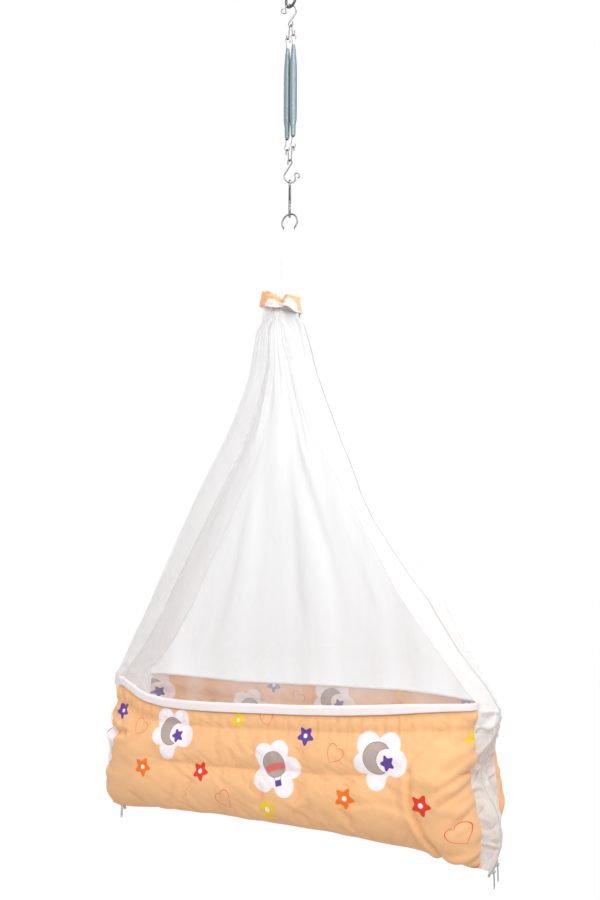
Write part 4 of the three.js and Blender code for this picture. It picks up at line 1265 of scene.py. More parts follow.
@dataclass
class Hardware:
    """Link, hooks, bails, springs, snap hook and ring."""

    wardrobe: Wardrobe
    hook_turn: float = math.radians(43)
    spring_turn: float = math.radians(-19)
    snap_turn: float = math.radians(118)
    hook_radius: float = 1.68 * MM
    bail_radius: float = 1.44 * MM
    spring_radius: float = 1.1 * MM
    coil_radius: float = 7.9 * MM
    neck_radius: float = 3.0 * MM
    coils: int = 107
    coil_steps: int = 16
    ring_radius: float = 19.5 * MM

    def stand(self, height: float, turn: float, flipped: bool = False, x: float = 0.0) -> Matrix:
        """Frame of a piece that hangs at a height, turned about the vertical."""
        frame = Matrix.Translation((0, 0, height)) @ Matrix.Rotation(turn, 4, "Z")
        frame = frame @ Matrix.Translation((x, 0, 0))
        return frame @ Matrix.Rotation(math.pi, 4, "Y") if flipped else frame

    def hook_line(self) -> list[Vector]:
        """Middle line of an S-hook below its top."""
        bow_radius, throat_radius, curl_radius = 14 * MM, 5.3 * MM, 6 * MM
        bow = arc((0, -bow_radius), bow_radius, 172, -22, 30)
        turn = math.radians(50)
        centre = (bow[0].x - curl_radius * math.cos(turn),
                  bow[0].z - 5 * MM - curl_radius * math.sin(turn))
        curl = arc(centre, curl_radius, -255, 50, 26)
        throat = arc((0, throat_radius - 58 * MM), throat_radius, 160, 375, 22)
        shank = [bow[-1].lerp(throat[0], share / 8) for share in range(1, 8)]
        tip = [throat[-1] + Vector((0, 0, 2 * MM * step)) for step in (1, 2, 3)]
        return rounded([*curl, *bow, *shank, *throat, *tip])

    def bail_line(self) -> list[Vector]:
        """Middle line of a bail below its apex."""
        apex = arc((0, -4.6 * MM), 4.6 * MM, 155, 25, 14)
        left = arc((-10 * MM, -29.6 * MM), 3.4 * MM, 180, 350, 14)
        right = arc((10 * MM, -29.6 * MM), 3.4 * MM, 190, 360, 14)
        ends = ((left[-1], apex[0]), (apex[-1], right[0]))
        legs = [[start.lerp(stop, s / 8) for s in range(1, 8)] for start, stop in ends]
        tips = [[end + Vector((0, 0, 2.6 * MM * step)) for step in (3, 2, 1)]
                for end in (left[0], right[-1])]
        return rounded([*tips[0], *left, *legs[0], *apex, *legs[1], *right, *reversed(tips[1])], 1)

    def placed(self, line: Sequence[Vector], frame: Matrix) -> Points:
        """A line moved to its stand."""
        return np.array([frame @ point for point in line])

    def spring(self, name: str, side: int) -> None:
        """A close-wound spring with a drawn-in neck and a long eye at each end."""
        half, middle = 0.1175, -0.2765
        frame = self.stand(middle, self.spring_turn, x=side * 10 * MM)
        frame = frame @ Matrix.Rotation(self.hook_turn - self.spring_turn, 4, "Z")
        steps = self.coils * self.coil_steps
        body = bmesh.new()
        spot = Matrix.Translation((-self.coil_radius, 0, half))
        spot = spot @ Matrix.Rotation(math.pi / 2, 4, "X")
        bmesh.ops.create_circle(body, segments=7, radius=self.spring_radius, matrix=spot)
        first = list(body.edges)
        bmesh.ops.contextual_create(body, geom=first)
        made = bmesh.ops.spin(body, geom=first, cent=(0, 0, 0), axis=(0, 0, 1),
                              dvec=(0, 0, -2 * half / steps),
                              angle=self.coils * 2 * math.pi, steps=steps, use_merge=False)
        last = [item for item in made["geom_last"] if isinstance(item, bmesh.types.BMEdge)]
        bmesh.ops.contextual_create(body, geom=last)
        bmesh.ops.recalc_face_normals(body, faces=body.faces)
        mesh = Tailor.meshed(body, name)
        points = Tailor.points(mesh)
        above, below = (half - points[:, 2]) / MM, (half + points[:, 2]) / MM
        crown = table(((0, 0), (6, 0.16), (20, 0.45), (45, 0.80), (72, 1)), above)
        foot = table(((0, 0), (5, 0.36), (31, 0.50), (43, 0.92), (60, 1)), below)
        wanted = mixed(self.neck_radius, self.coil_radius, np.minimum(crown, foot))
        span = np.hypot(points[:, 0], points[:, 1])
        scale = (span - self.coil_radius + wanted) / span
        points[:, 0] *= scale
        points[:, 1] *= scale
        Tailor.move(mesh, points)
        mesh.transform(frame)
        coils = Tailor.piece(name, mesh, self.wardrobe.zinc)
        dressed(coils, "spring_body", "zinc_spring", name)
        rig.blend(self.freed(coils), "spring_body", "lower_bail_body", (0, 0, -0.150),
                 (0, 0, -0.403))
        for end, word in ((1, "top"), (-1, "foot")):
            centre = half + 16.1 * MM + 6.2 * MM
            loop = arc((0, centre), 6.2 * MM, -48, 228, 26)
            neck = [Vector((-self.neck_radius * 0.9, 0, mixed(loop[-1].z, half, s / 5)))
                    for s in range(1, 6)]
            turn = Matrix.Rotation(0 if end > 0 else math.pi, 4, "X")
            line = [frame @ (turn @ point) for point in rounded([*loop, *neck], 3)]
            eye = Tailor.sweep(f"{name}_{word}_eye", np.array(line), self.spring_radius,
                               self.wardrobe.steel, 9)
            dressed(eye, "spring_body" if end > 0 else "lower_bail_body", "bright_steel")

    @staticmethod
    def freed(piece: Piece) -> Piece:
        """Takes a piece off its body so that it can bend between two."""
        world = piece.matrix_world.copy()
        piece.parent = None
        piece.matrix_world = world
        del piece["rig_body"]
        return piece

    def build(self) -> None:
        """Makes every piece of the hanging hardware."""
        steel, dark = self.wardrobe.steel, self.wardrobe.dark_steel
        wide = 16 * MM
        oval = [*arc((0, 3 * MM - wide), wide, 0, 180, 20),
                *arc((0, wide - 51 * MM), wide, 180, 360, 20)]
        link = Tailor.sweep("link_wire", self.placed(oval, self.stand(0, self.spring_turn)), 3 * MM,
                            dark, 14, True)
        dressed(link, "hanger", "dark_steel", "hanging_link")
        hooks = (("upper", self.stand(-0.04595, self.hook_turn)),
                 ("lower", self.stand(-0.50705, self.hook_turn, True)))
        for word, frame in hooks:
            hook = Tailor.sweep(f"{word}_hook_wire", self.placed(self.hook_line(), frame),
                                self.hook_radius, steel)
            dressed(hook, f"{word}_hook_body", "bright_steel", f"{word}_hook")
        bails = (("upper", "spring_body", self.stand(-0.1004, self.spring_turn)),
                 ("lower", "lower_bail_body", self.stand(-0.4526, self.spring_turn, True)))
        for word, body, frame in bails:
            bail = Tailor.sweep(f"{word}_bail_wire", self.placed(self.bail_line(), frame),
                                self.bail_radius, steel)
            dressed(bail, body, "bright_steel", f"{word}_bail")
        self.spring("left_spring", -1)
        self.spring("right_spring", 1)
        hoop = [Vector((self.ring_radius * math.sin(a), 0,
                        self.ring_radius * math.cos(a) + RING_LEVEL))
                for a in np.linspace(0, 2 * math.pi, 73)[:-1]]
        ring = Tailor.sweep("ring_wire", np.array(hoop), 2 * MM, steel, 14, True)
        dressed(ring, "ring_body", "bright_steel", "suspension_ring")
        for node, body, width in (("snap_hook_gate", "gate_body", 0.0003),
                                  ("snap_hook_pin", "snap_body", 0.0002)):
            part = Tailor.softened(node, f"{node}_steel", dark if "gate" in node else steel, width)
            dressed(part, body, "dark_steel" if "gate" in node else "bright_steel", node)
        self.snap()

    def snap(self) -> None:
        """The snap hook's wire, with the flat tongue that carries its gate."""
        top, foot, height, wire = 8.5 * MM, 12.5 * MM, 88 * MM, 2.6 * MM
        nose = Vector((-mixed(top, foot, (22 * MM - top) / (height - top - foot)), 0, -22 * MM))
        root = Vector((-mixed(top, foot, (67 * MM - top) / (height - top - foot)), 0, -67 * MM))
        bow, turn = arc((0, -top), top, 180, 0, 20), arc((0, foot - height), foot, 360, 180, 24)
        shank = [bow[-1].lerp(turn[0], share / 10) for share in range(1, 10)]
        rise = [turn[-1].lerp(root, share / 3) for share in range(1, 4)]
        line = rounded([nose, *bow, *shank, *turn, *rise])
        frame = self.stand(-0.50225, self.snap_turn)
        made = Tailor.sweep("snap_wire", self.placed(line, frame), wire, self.wardrobe.steel, 14)
        dressed(made, "snap_body", "bright_steel", "snap_hook_body")
        body = bmesh.new()
        middle = Matrix.Translation(((root.x - top) / 2 - 1.2 * MM, 0, -0.0645))
        size = Matrix.Diagonal((4.6 * MM, 1.9 * MM, 9.5 * MM, 1))
        bmesh.ops.create_cube(body, size=1.0, matrix=frame @ middle @ size)
        bmesh.ops.bevel(body, geom=body.edges, offset=0.5 * MM, segments=2, profile=0.5,
                        affect="EDGES")
        mesh = Tailor.meshed(body, "snap_tongue")
        dressed(Tailor.piece("snap_tongue", mesh, self.wardrobe.steel), "snap_body", "bright_steel")


@dataclass
class Strap:
    """White strap doubled over the ring."""

    wardrobe: Wardrobe
    half_width: float = 0.020
    ring_radius: float = 19.5 * MM
    fold_radius: float = 3.7 * MM
    gap: float = 1.6 * MM
    close: float = 0.030
    fall: float = 0.202
    gather: float = math.radians(38)

    def line(self, across: Array, along: Array) -> Points:
        """The strap's middle surface, from its front end over the ring to its back end."""
        share = 2 * across - 1
        angle = self.gather * share
        wire_x, wire_drop = self.ring_radius * np.sin(angle), self.ring_radius * np.cos(angle)
        drop = self.ring_radius + self.fall
        side = np.where(along < 0.5, -1.0, 1.0)
        out = np.abs(2 * along - 1)
        straight = 0.94
        down = np.clip(out / straight, 0, 1)
        rolled = np.clip((straight - out) / straight, 0, 1)
        turn = np.clip((0.16 - out) / 0.16, 0, 1) * math.pi / 2
        hang = mixed(wire_drop, drop, np.clip((out - 0.16) / 0.84, 0, 1))
        spread = eased((hang - wire_drop) / (self.close * 1.3))
        x = mixed(wire_x, self.half_width * share, spread)
        rest = mixed(self.fold_radius, self.gap, spread)
        folded = out < 0.16
        reach = self.fold_radius * np.sin(turn)
        x = np.where(folded, wire_x - reach * np.sin(angle), x)
        y = np.where(folded, self.fold_radius * np.cos(turn), rest)
        z = np.where(folded, reach * np.cos(angle) - wire_drop, -hang)
        return np.stack([x, side * y, z + RING_LEVEL], axis=1)

    def creases(self, across: Array, along: Array) -> Array:
        """Folds that run down from the ring, and the pressed line near one edge."""
        out = np.abs(2 * along - 1)
        near_ring = np.exp(-((out - 0.22) / 0.16) ** 2)
        gathers = 0.0007 * np.sin(2 * math.pi * across * 4.5 + 1.1)
        gathers = gathers * near_ring * np.clip((out - 0.14) / 0.1, 0, 1)
        line = -0.0005 * np.exp(-((across - 0.82) / 0.012) ** 2) * (along < 0.5)
        waves = 0.0006 * Ripples(3).at(along * 9, across * 1.2)
        waves = waves * np.sin(math.pi * np.clip(out, 0, 1))
        return gathers + line + waves

    def build(self) -> None:
        """Makes the strap and its stitches."""
        length = 2 * self.fall + math.pi * self.fold_radius
        chart = flat_chart(2 * self.half_width, length)
        surface = Tailor.raised(self.line, self.creases, 1.0)
        strap = Tailor.grid("strap", 26, 150, [surface], chart, self.wardrobe.strap, level=0.0)
        Tailor.mark_painted_shade(strap, 2 * MM)
        Tailor.thicken(strap, 1.5 * MM)
        dressed(strap, "cradle_body", "white_cotton", "hanging_strap")
        steps = 46
        rows = [(edge, along) for edge in (0.07, 0.93) for along in np.linspace(0.02, 0.40, steps)]
        spots = np.array(rows)
        places = surface(spots[:, 0], spots[:, 1]) + np.array((0, -0.00075, 0))
        ahead = surface(spots[:, 0], spots[:, 1] + 0.004) + np.array((0, -0.00075, 0))
        outs = np.tile((0, -1, 0), (len(rows), 1))
        stitches = Tailor.beads("strap_stitches", places, ahead - places, outs,
                                (0.0026, 0.0005, 0.0004), self.wardrobe.pale_thread)
        dressed(stitches, "cradle_body", "white_cotton")
        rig.sheet(strap, flat=(2 * self.half_width, round(length, 3)), held="folded",
                 rests_on=["ring_wire"], with_pieces=[stitches])


@dataclass
class Band:
    """Orange band drawn in at its middle, and the tuft of net above it."""

    wardrobe: Wardrobe
    half_length: float = 0.054
    lobe: float = 0.0215
    waist: float = 0.0100
    height: float = 0.041
    waist_height: float = 0.029
    tilt: float = math.radians(16)
    fullness: float = 0.6

    def face(self, around: Array, rise: Array) -> Points:
        """Face of the band round its loop and up its height."""
        angle = 2 * math.pi * around
        side = np.cos(angle)
        shifted = side - 0.11 * (1 - side**2)
        lobe = np.sin(math.pi * np.abs(shifted)) ** 2
        pinch = np.exp(-((shifted / 0.30) ** 2))
        depth = mixed(self.waist, self.lobe, lobe) + 0.0022 * np.sin(math.pi * rise)
        round_ = np.abs(np.sin(angle)) ** self.fullness * np.sign(np.sin(angle))
        crumple = Ripples(21, 9).at(side * 3.2 + 1.5 * np.sign(np.sin(angle)), rise * 1.6, 0.9)
        folds = 0.0014 * np.sin(rise * 15 + 9 * np.abs(side))
        folds = folds * np.exp(-((np.abs(side) - 0.24) / 0.22) ** 2)
        folds = folds + 0.0011 * crumple
        x = self.half_length * side * (1.02 - 0.13 * rise) - 0.002
        foot = 0.004 + 0.0015 * pinch
        top = mixed(self.height, self.waist_height, pinch)
        z = mixed(foot, top, rise) - x * math.tan(self.tilt)
        return np.stack([x + FORM.band_shift, (depth + folds) * round_,
                         z + FORM.canopy_height + 0.007], axis=1)

    def build(self) -> None:
        """Makes the band, its edges' stitches and the tuft."""
        loop = 0.262
        chart = flat_chart(loop, self.height, (0.290, -0.118))
        band = Tailor.grid("band", 180, 26, [self.face], chart, self.wardrobe.print, wrapped=True)
        Tailor.mark_painted_shade(band, 4 * MM)
        Tailor.thicken(band, 2.0 * MM, -1.0)
        dressed(band, "cradle_body", "orange_cotton", "top_band")
        around = np.linspace(0, 1, 84, endpoint=False)
        rows = []
        for rise in (0.09, 0.91):
            level = np.full_like(around, rise)
            spot, ahead = self.face(around, level), self.face(around + 0.004, level)
            out = spot - np.array((FORM.band_shift, 0, 0))
            out[:, 2] = 0
            rows.append((spot, ahead - spot, out))
        places, ways, outs = (np.concatenate([row[index] for row in rows]) for index in range(3))
        places[:, 2] += RIM_LEVEL
        stitches = Tailor.beads("band_stitches", places, ways, outs, (0.0024, 0.0005, 0.0005),
                                self.wardrobe.thread)
        dressed(stitches, "cradle_body", "orange_cotton")
        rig.sheet(band, flat=(loop, self.height), held="gathered",
                 rests_on=["front_netting", "back_netting"], with_pieces=[stitches])
        self.tuft()

    def tuft(self) -> None:
        """Gathered net that stands out of the band above its waist."""
        body = bmesh.new()
        bmesh.ops.create_uvsphere(body, u_segments=64, v_segments=24, radius=1.0)
        mesh = Tailor.meshed(body, "tuft")
        ball = Tailor.points(mesh)
        turn = np.arctan2(ball[:, 1], ball[:, 0])
        flare = 0.75 + 0.35 * ball[:, 2]
        pleat = 1 + 0.16 * np.sin(11 * turn + 2 * ball[:, 2]) + 0.07 * np.sin(23 * turn)
        ball[:, 0] *= 0.019 * flare * pleat
        ball[:, 1] *= 0.0100 * flare * pleat
        ball[:, 2] = ball[:, 2] * 0.019 + 0.0022 * np.sin(7 * turn) * (ball[:, 2] > 0)
        ball += np.array((FORM.band_shift + 0.001, 0, FORM.canopy_height + 0.040 + RIM_LEVEL))
        Tailor.move(mesh, ball)
        tuft = Tailor.piece("band_tuft", mesh, self.wardrobe.white)
        dressed(tuft, "cradle_body", "white_cotton")


@dataclass
class Canopy:
    """Two net sides and four end strips."""

    wardrobe: Wardrobe
    tuck: float = 0.026
    net_top: float = 0.0062
    fold: float = 0.0100
    hem_zip: float = 0.290
    hem_seam: float = 0.266

    def net(self, side: int) -> Surface:
        """Face of a net, at the front (-1) or back (1)."""
        ripples = Ripples(11 + side)

        def face(across: Array, along: Array) -> Points:
            """Point of the net."""
            rows = np.clip(along / 0.97, 0, 1)
            reach, _ = FORM.boat(across, 0.0, 0.0)
            low = FORM.rim(FORM.stretch(reach, np.zeros_like(reach), side), side)
            z = mixed(low, FORM.canopy_height, rows)
            rise = FORM.rise(z)
            seam_at = FORM.seam_depth(z) - 0.0004
            bulge = mixed(FORM.rim_half_depth - FORM.seam_depth_low,
                          self.net_top - FORM.seam_depth_top, rows**FORM.full)
            _, depth = FORM.boat(across, seam_at + bulge, seam_at)
            left, right = FORM.seam_line(z, -1, side), FORM.seam_line(z, 1, side)
            x = (left + right) / 2 + reach * (right - left) / 2
            loose = (1 - np.abs(reach) ** 6) * np.sin(math.pi * np.clip(rows * 0.94, 0, 1)) ** 0.55
            soft = ripples.at(across * 8.5, rows * 0.5, 0.3)
            fold = self.fold * loose * soft
            gather = 0.0012 * np.sin(2 * math.pi * across * 9) * rows**5 * (1 - np.abs(reach) ** 6)
            up = np.clip(along - 0.97, 0, 1) / 0.03 * self.tuck
            return np.stack([x, side * (depth + fold + gather), z + up], axis=1)

        return face

    def hang(self, side: int) -> Surface:
        """Cloth coordinates of a net, whose folds hang almost straight down."""
        face = self.net(side)

        def chart(across: Array, along: Array) -> Array:
            """Coordinates of the net."""
            x, _, z = face(across, along).T
            rise = FORM.rise(z)
            return np.stack([(x - FORM.shift(z)) / (1 - 0.72 * rise**1.6) + 3 * side, z], axis=1)

        return chart

    @staticmethod
    def spaced(along: Array) -> Array:
        """Sets the strips' rows closer together below the rim."""
        return table(((0, 0), (0.5, 0.32), (1, 1)), along)

    def chart(self, across: Array, along: Array) -> Array:
        """Cloth coordinates of a strip."""
        return np.stack([across * 0.06, self.spaced(along) * 1.25], axis=1)

    def strip(self, end: int, side: int) -> Surface:
        """Face of half an end strip, from its zip edge to its seam."""
        ripples, small = Ripples(31 + 3 * end + side), Ripples(41 + 3 * end + side, 9)

        def flat(across: Array, along: Array) -> Points:
            """Point of the strip before its wrinkles."""
            hem = mixed(self.hem_zip, self.hem_seam, across)
            top = FORM.canopy_height + self.tuck
            z = mixed(-hem, top, self.spaced(along))
            level = np.minimum(z, FORM.canopy_height)
            zip_x = end * FORM.zip_line(level, end) + FORM.shift(level)
            edge = FORM.seam_line(level, end, side)
            roundness = mixed(mixed(1.4, 2.3, eased((level + 0.09) / 0.06)), 2.2, FORM.rise(level))
            if end > 0:
                roundness = mixed(roundness, 1.15,
                                  eased(level / 0.10) * eased((0.76 - level) / 0.1))
            x = mixed(zip_x, edge, across**roundness)
            y = side * mixed(FORM.tape_edge, FORM.seam_depth(level), across)
            return np.stack([x, y, z], axis=1)

        def wrinkles(across: Array, along: Array) -> Array:
            """Folds of the strip, strongest on the end of the cradle."""
            z = mixed(-self.hem_zip, FORM.canopy_height, self.spaced(along))
            held = eased(across / 0.20) * eased((1 - across) / 0.12)
            pressed = 0.0
            if end > 0:
                pressed = sum(fold.height(0.06 * across, z) for fold in STRIP_FOLDS[side])
            skirt = eased(-z / 0.05) * eased((z + self.hem_zip) / 0.04)
            kink = np.exp(-((z + 0.015) / 0.05) ** 2)
            canopy = eased(z / 0.08) * eased((FORM.canopy_height - z) / 0.06)
            slant = z + 0.030 * across
            broad = ripples.at(slant / 0.060, across * 0.6, 0.6)
            tight = small.at(slant / 0.024, across * 1.0, 0.7)
            long = ripples.at(z / 0.30, across * 1.0, 0.3)
            crisp = 1 - 2 * np.sqrt(np.abs(broad) + 0.003)
            heights = (skirt + 0.9 * kink) * (0.0030 * crisp + 0.0012 * tight + 0.002) + pressed
            return (heights + canopy * (0.0020 * long + 0.0003 * tight)) * held

        return Tailor.raised(flat, wrinkles, float(-end * side))

    def build(self) -> None:
        """Makes the nets and strips."""
        words = {-1: "front", 1: "back"}
        for side, word in words.items():
            net = Tailor.grid(f"{word}_netting", 170, 90, [self.net(side)], self.hang(side),
                              self.wardrobe.net)
            Tailor.thicken(net, 0.35 * MM)
            dressed(net, "cradle_body", "net_cloth", f"{word}_net")
            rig.sheet(net, flat=(0.96, 0.90), held="gathered", area=0.46,
                     rests_on=["band", f"{word}_padding"])
            for end, side_word in ((-1, "left"), (1, "right")):
                name = f"{side_word}_{word}_end_strip"
                strip = Tailor.grid(name, 40, 380, [self.strip(end, side)], self.chart,
                                    self.wardrobe.end)
                Tailor.mark_painted_shade(strip, 3 * MM)
                Tailor.thicken(strip, 0.9 * MM)
                dressed(strip, "cradle_body", "white_cotton", f"{side_word}_{word}_strip")
                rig.sheet(strip, flat=(0.115, 1.28), held="hung", area=0.09,
                         rests_on=["band", f"{word}_padding"])


@dataclass(frozen=True)
class Crease:
    """A pressed fold along a line on a wall, in X and height."""

    line: tuple[Pair, ...]
    depth: float
    width: float

    def height(self, x: Array, z: Array) -> Array:
        """How far the fold moves the cloth out (plus) or in (minus)."""
        nearest = np.full(x.shape, 1e3)
        signed = np.zeros(x.shape)
        for (x0, z0), (x1, z1) in zip(self.line, self.line[1:]):
            way = np.array((x1 - x0, z1 - z0))
            length = np.hypot(*way)
            share = np.clip(((x - x0) * way[0] + (z - z0) * way[1]) / length**2, 0, 1)
            gap_x, gap_z = x - x0 - share * way[0], z - z0 - share * way[1]
            gap = np.hypot(gap_x, gap_z)
            side = np.sign(gap_x * way[1] - gap_z * way[0])
            closer = gap < nearest
            nearest = np.where(closer, gap, nearest)
            signed = np.where(closer, side * gap, signed)
        groove = -np.exp(-((nearest / self.width) ** 2))
        ridge = 0.55 * np.exp(-(((signed - 1.9 * self.width) / (1.5 * self.width)) ** 2))
        return self.depth * (groove + ridge)


@dataclass
class PaddedWall:
    """One padded side of the cradle, with its casing, quilt seam and creases."""

    wardrobe: Wardrobe
    side: int
    word: str
    columns: int = 176
    rows: int = 58
    casing: float = 0.040
    quilt: float = 0.112
    seam_at: float = 0.0563
    creases: tuple[Crease, ...] = ()

    def spread(self, across: Array) -> Array:
        """Spaces the columns evenly along the cloth."""
        side = 2 * across - 1
        left = table(((0, 0), (0.42, 0.5), (1, 1)), np.abs(side))
        right = table(((0, 0), (0.70, 0.5), (1, 1)), np.abs(side))
        return 0.5 + 0.5 * np.where(side < 0, -left, right)

    def base(self, across: Array, down: Array) -> Points:
        """The wall's outer face without its padding."""
        across = self.spread(across)
        reach, boat_depth = FORM.boat(across, FORM.rim_half_depth, self.seam_at)
        tub_x, tub_depth = FORM.tub(across, self.seam_at)
        low = (self.side > 0) & (across > 0.5)
        squareness = np.where(low, eased((down - 0.30) / 0.25), eased((down - 0.06) / 0.44))
        share = mixed(reach, tub_x / FORM.seam_x, squareness)
        depth = mixed(boat_depth, tub_depth, squareness)
        rough = share * FORM.seam_x
        height = mixed(FORM.rim(rough, self.side), FORM.foot(rough), down)
        x = FORM.stretch(share, height, self.side)
        foot = FORM.foot(x)
        z = mixed(FORM.rim(x, self.side), foot, down)
        into = np.clip(FORM.foot_radius - (z - foot), 0, FORM.foot_radius)
        tuck = FORM.foot_radius - np.sqrt(FORM.foot_radius**2 - into**2)
        share = (depth - self.seam_at) / (FORM.half_depth - self.seam_at)
        return np.stack([x, self.side * (depth - tuck * share), z], axis=1)

    def nearness(self, across: Array) -> Array:
        """1 at the end seams and 0 in the middle."""
        return np.abs(2 * across - 1)

    def pad(self, x: Array, drop: Array, total: Array) -> Array:
        """Swell of the padding at a drop below the rim."""

        def arch(start: float, end: float | Array, power: float) -> Array:
            """Swell between two drops."""
            return np.sin(math.pi * np.clip((drop - start) / (end - start), 0, 1)) ** power

        quilted = eased((x + 0.30) / 0.08) * eased((0.31 - x) / 0.06)
        double = 0.0065 * arch(self.casing, self.quilt, 0.5) + 0.0085 * arch(self.quilt, total, 0.5)
        single = 0.0090 * arch(self.casing, total, 0.5)
        return 0.0034 * arch(0.012, self.casing, 0.7) + mixed(single, double, quilted)

    def relief(self, across: Array, down: Array) -> Array:
        """Padding, gathers, wrinkles and creases of the outer face."""
        x, _, z = self.base(across, down).T
        drop, total = FORM.rim(x, self.side) - z, FORM.rim(x, self.side) - FORM.foot(x)
        seed = 60 + self.side
        gathers = Ripples(seed, 5).at(x / 0.016, drop / 0.10)
        window = eased((drop - 0.008) / 0.01)
        window = window * np.exp(-(np.clip(drop - self.casing, 0, None) / 0.013) ** 2)
        broad = Ripples(seed + 5, 8).at(x / 0.13, z / 0.075)
        fine = Ripples(seed + 9, 8).at(x / 0.05, z / 0.04)
        ending = np.exp(-((self.nearness(across) - 1) / 0.16) ** 2)
        body = eased((drop - self.casing) / 0.03)
        total_relief = self.pad(x, drop, total) + 0.0011 * gathers * window
        total_relief = total_relief + body * (0.0022 * broad + 0.0008 * fine)
        total_relief = total_relief + ending * 0.0018 * fine
        corner = np.exp(-(((self.nearness(across) - 0.93) / 0.07) ** 2)) * (across > 0.5)
        low = table(((0.06, 0), (0.10, 0.2), (0.135, 0.9), (0.17, 1), (0.24, 1), (0.27, 0.5)), drop)
        drawn = table(((0, 0), (0.03, -0.009), (0.075, -0.012), (0.095, -0.009), (0.12, -0.004),
                       (0.27, -0.005)), drop)
        total_relief = total_relief + (0.003 * low if self.side < 0 else drawn) * corner
        for crease in self.creases:
            total_relief = total_relief + crease.height(x, z)
        held = np.clip((1 - self.nearness(across)) / 0.035, 0, 1) ** 0.5
        return total_relief * held * eased(down / 0.03)

    def lining(self, across: Array, down: Array) -> Array:
        """Depth of the lining below the outer face's base."""
        x, _, z = self.base(across, down).T
        drop, total = FORM.rim(x, self.side) - z, FORM.rim(x, self.side) - FORM.foot(x)
        waves = Ripples(90 + self.side, 7).at(x / 0.09, z / 0.06)
        return 0.0022 + 0.55 * self.pad(x, drop, total) + 0.0009 * waves * eased(drop / 0.03)

    def chart(self, across: Array, down: Array) -> Array:
        """Cloth coordinates, along X and down the wall."""
        x, y, z = self.base(across, down).T
        lift = -0.02 if self.side < 0 else -0.062
        return np.stack([x + 0.10 * (self.side + 1), z + lift], axis=1)

    def build(self) -> None:
        """Makes the wall, its stitches and the rim tape."""
        turn = self.outward()
        outer = Tailor.raised(self.base, self.relief, turn)
        inner = Tailor.raised(self.base, self.lining, -turn)
        wall = Tailor.grid(f"{self.word}_padding", self.columns, self.rows, [outer, inner],
                           self.chart, self.wardrobe.print)
        Tailor.inflate(wall, self.sewn(wall), WALL_PUFF)
        Tailor.mark_painted_shade(wall, 6 * MM)
        Tailor.refine(wall)
        dressed(wall, "cradle_body", "printed_orange_cotton", f"{self.word}_wall")
        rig.padded(wall, fill=0.45)
        self.stitches(outer)
        self.tape()

    def outward(self) -> float:
        """Sign that moves the face away from the middle of the cradle."""
        spot = np.array([0.5])
        step = Tailor.raised(self.base, lambda across, down: np.full(across.shape, 0.01), 1.0)
        moved, still = step(spot, spot)[0], self.base(spot, spot)[0]
        return 1.0 if abs(moved[1]) > abs(still[1]) else -1.0

    def sewn(self, wall: Piece) -> Array:
        """How firmly each point of the wall is held by a seam."""
        points = Tailor.points(wall.data)
        x, z = points[:, 0], points[:, 2] - RIM_LEVEL
        drop, total = FORM.rim(x, self.side) - z, FORM.rim(x, self.side) - FORM.foot(x)
        lines = np.exp(-((drop - self.casing) / 0.0045) ** 2)
        quilted = eased((x + 0.28) / 0.05) * eased((0.29 - x) / 0.05)
        lines = np.maximum(lines, quilted * np.exp(-((drop - self.quilt) / 0.0045) ** 2))
        ends = (np.abs(x) > FORM.seam_x - 0.030) & (np.abs(points[:, 1]) < self.seam_at + 0.005)
        edges = (drop < 0.014) | (total - drop < 0.006) | ends
        return np.where(edges, 1.0, np.where(lines > 0.2, lines, 0.0))

    def stitches(self, outer: Surface) -> None:
        """Rows of stitches along the casing and the quilt seam."""
        across = np.linspace(0.03, 0.97, 300)
        rows = []
        for drop, low, high in ((self.casing, -0.42, 0.42), (self.quilt, -0.26, 0.27)):
            base = self.base(across, np.full_like(across, 0.5))
            total = FORM.rim(base[:, 0], self.side) - FORM.foot(base[:, 0])
            down = drop / total
            spot = outer(across, down)
            keep = (spot[:, 0] > low) & (spot[:, 0] < high)
            ahead = outer(across + 0.001, down)
            out = np.stack([np.zeros_like(across), np.full_like(across, self.side),
                            np.zeros_like(across)], axis=1)
            rows.append((spot[keep], (ahead - spot)[keep], out[keep]))
        places, ways, outs = (np.concatenate([row[index] for row in rows]) for index in range(3))
        places[:, 2] += RIM_LEVEL
        places[:, 1] += self.side * 0.0002
        made = Tailor.beads(f"{self.word}_wall_stitches", places, ways, outs,
                            (0.0030, 0.0006, 0.0006), self.wardrobe.thread)
        dressed(made, "cradle_body", "printed_orange_cotton")

    def tape(self) -> None:
        """Folded tape along the rim."""
        inner = -0.008 if self.side < 0 else 0.001
        profile = ((0, 0.0034, -0.0085), (0.08, 0.0036, -0.008), (0.40, 0.0034, 0.0050),
                   (0.46, 0.0026, 0.0078),
                   (0.5, 0.0, 0.0088), (0.54, -0.0026, 0.0078), (0.60, -0.0032, 0.0050),
                   (0.92, -0.0034, inner),
                   (1, -0.0032, inner - 0.0005))
        rows = np.array(profile)

        def face(across: Array, along: Array) -> Points:
            """Point of the tape."""
            out, up = (np.interp(along, rows[:, 0], rows[:, column]) for column in (1, 2))
            reach, depth = FORM.boat(across, FORM.rim_half_depth, self.seam_at)
            x = FORM.stretch(reach, np.zeros_like(reach), self.side)
            flatter = np.where((self.side > 0) & (up > 0), 0.4, 1.0)
            narrow = mixed(1.0, 0.7, eased((x - 0.25) / 0.15)) * flatter
            wave = 0.0005 * Ripples(77 + self.side).at(x / 0.03, along * 0.5)
            return np.stack([x, self.side * (depth + out * 1.15 + wave),
                             FORM.rim(x, self.side) + up * narrow], axis=1)

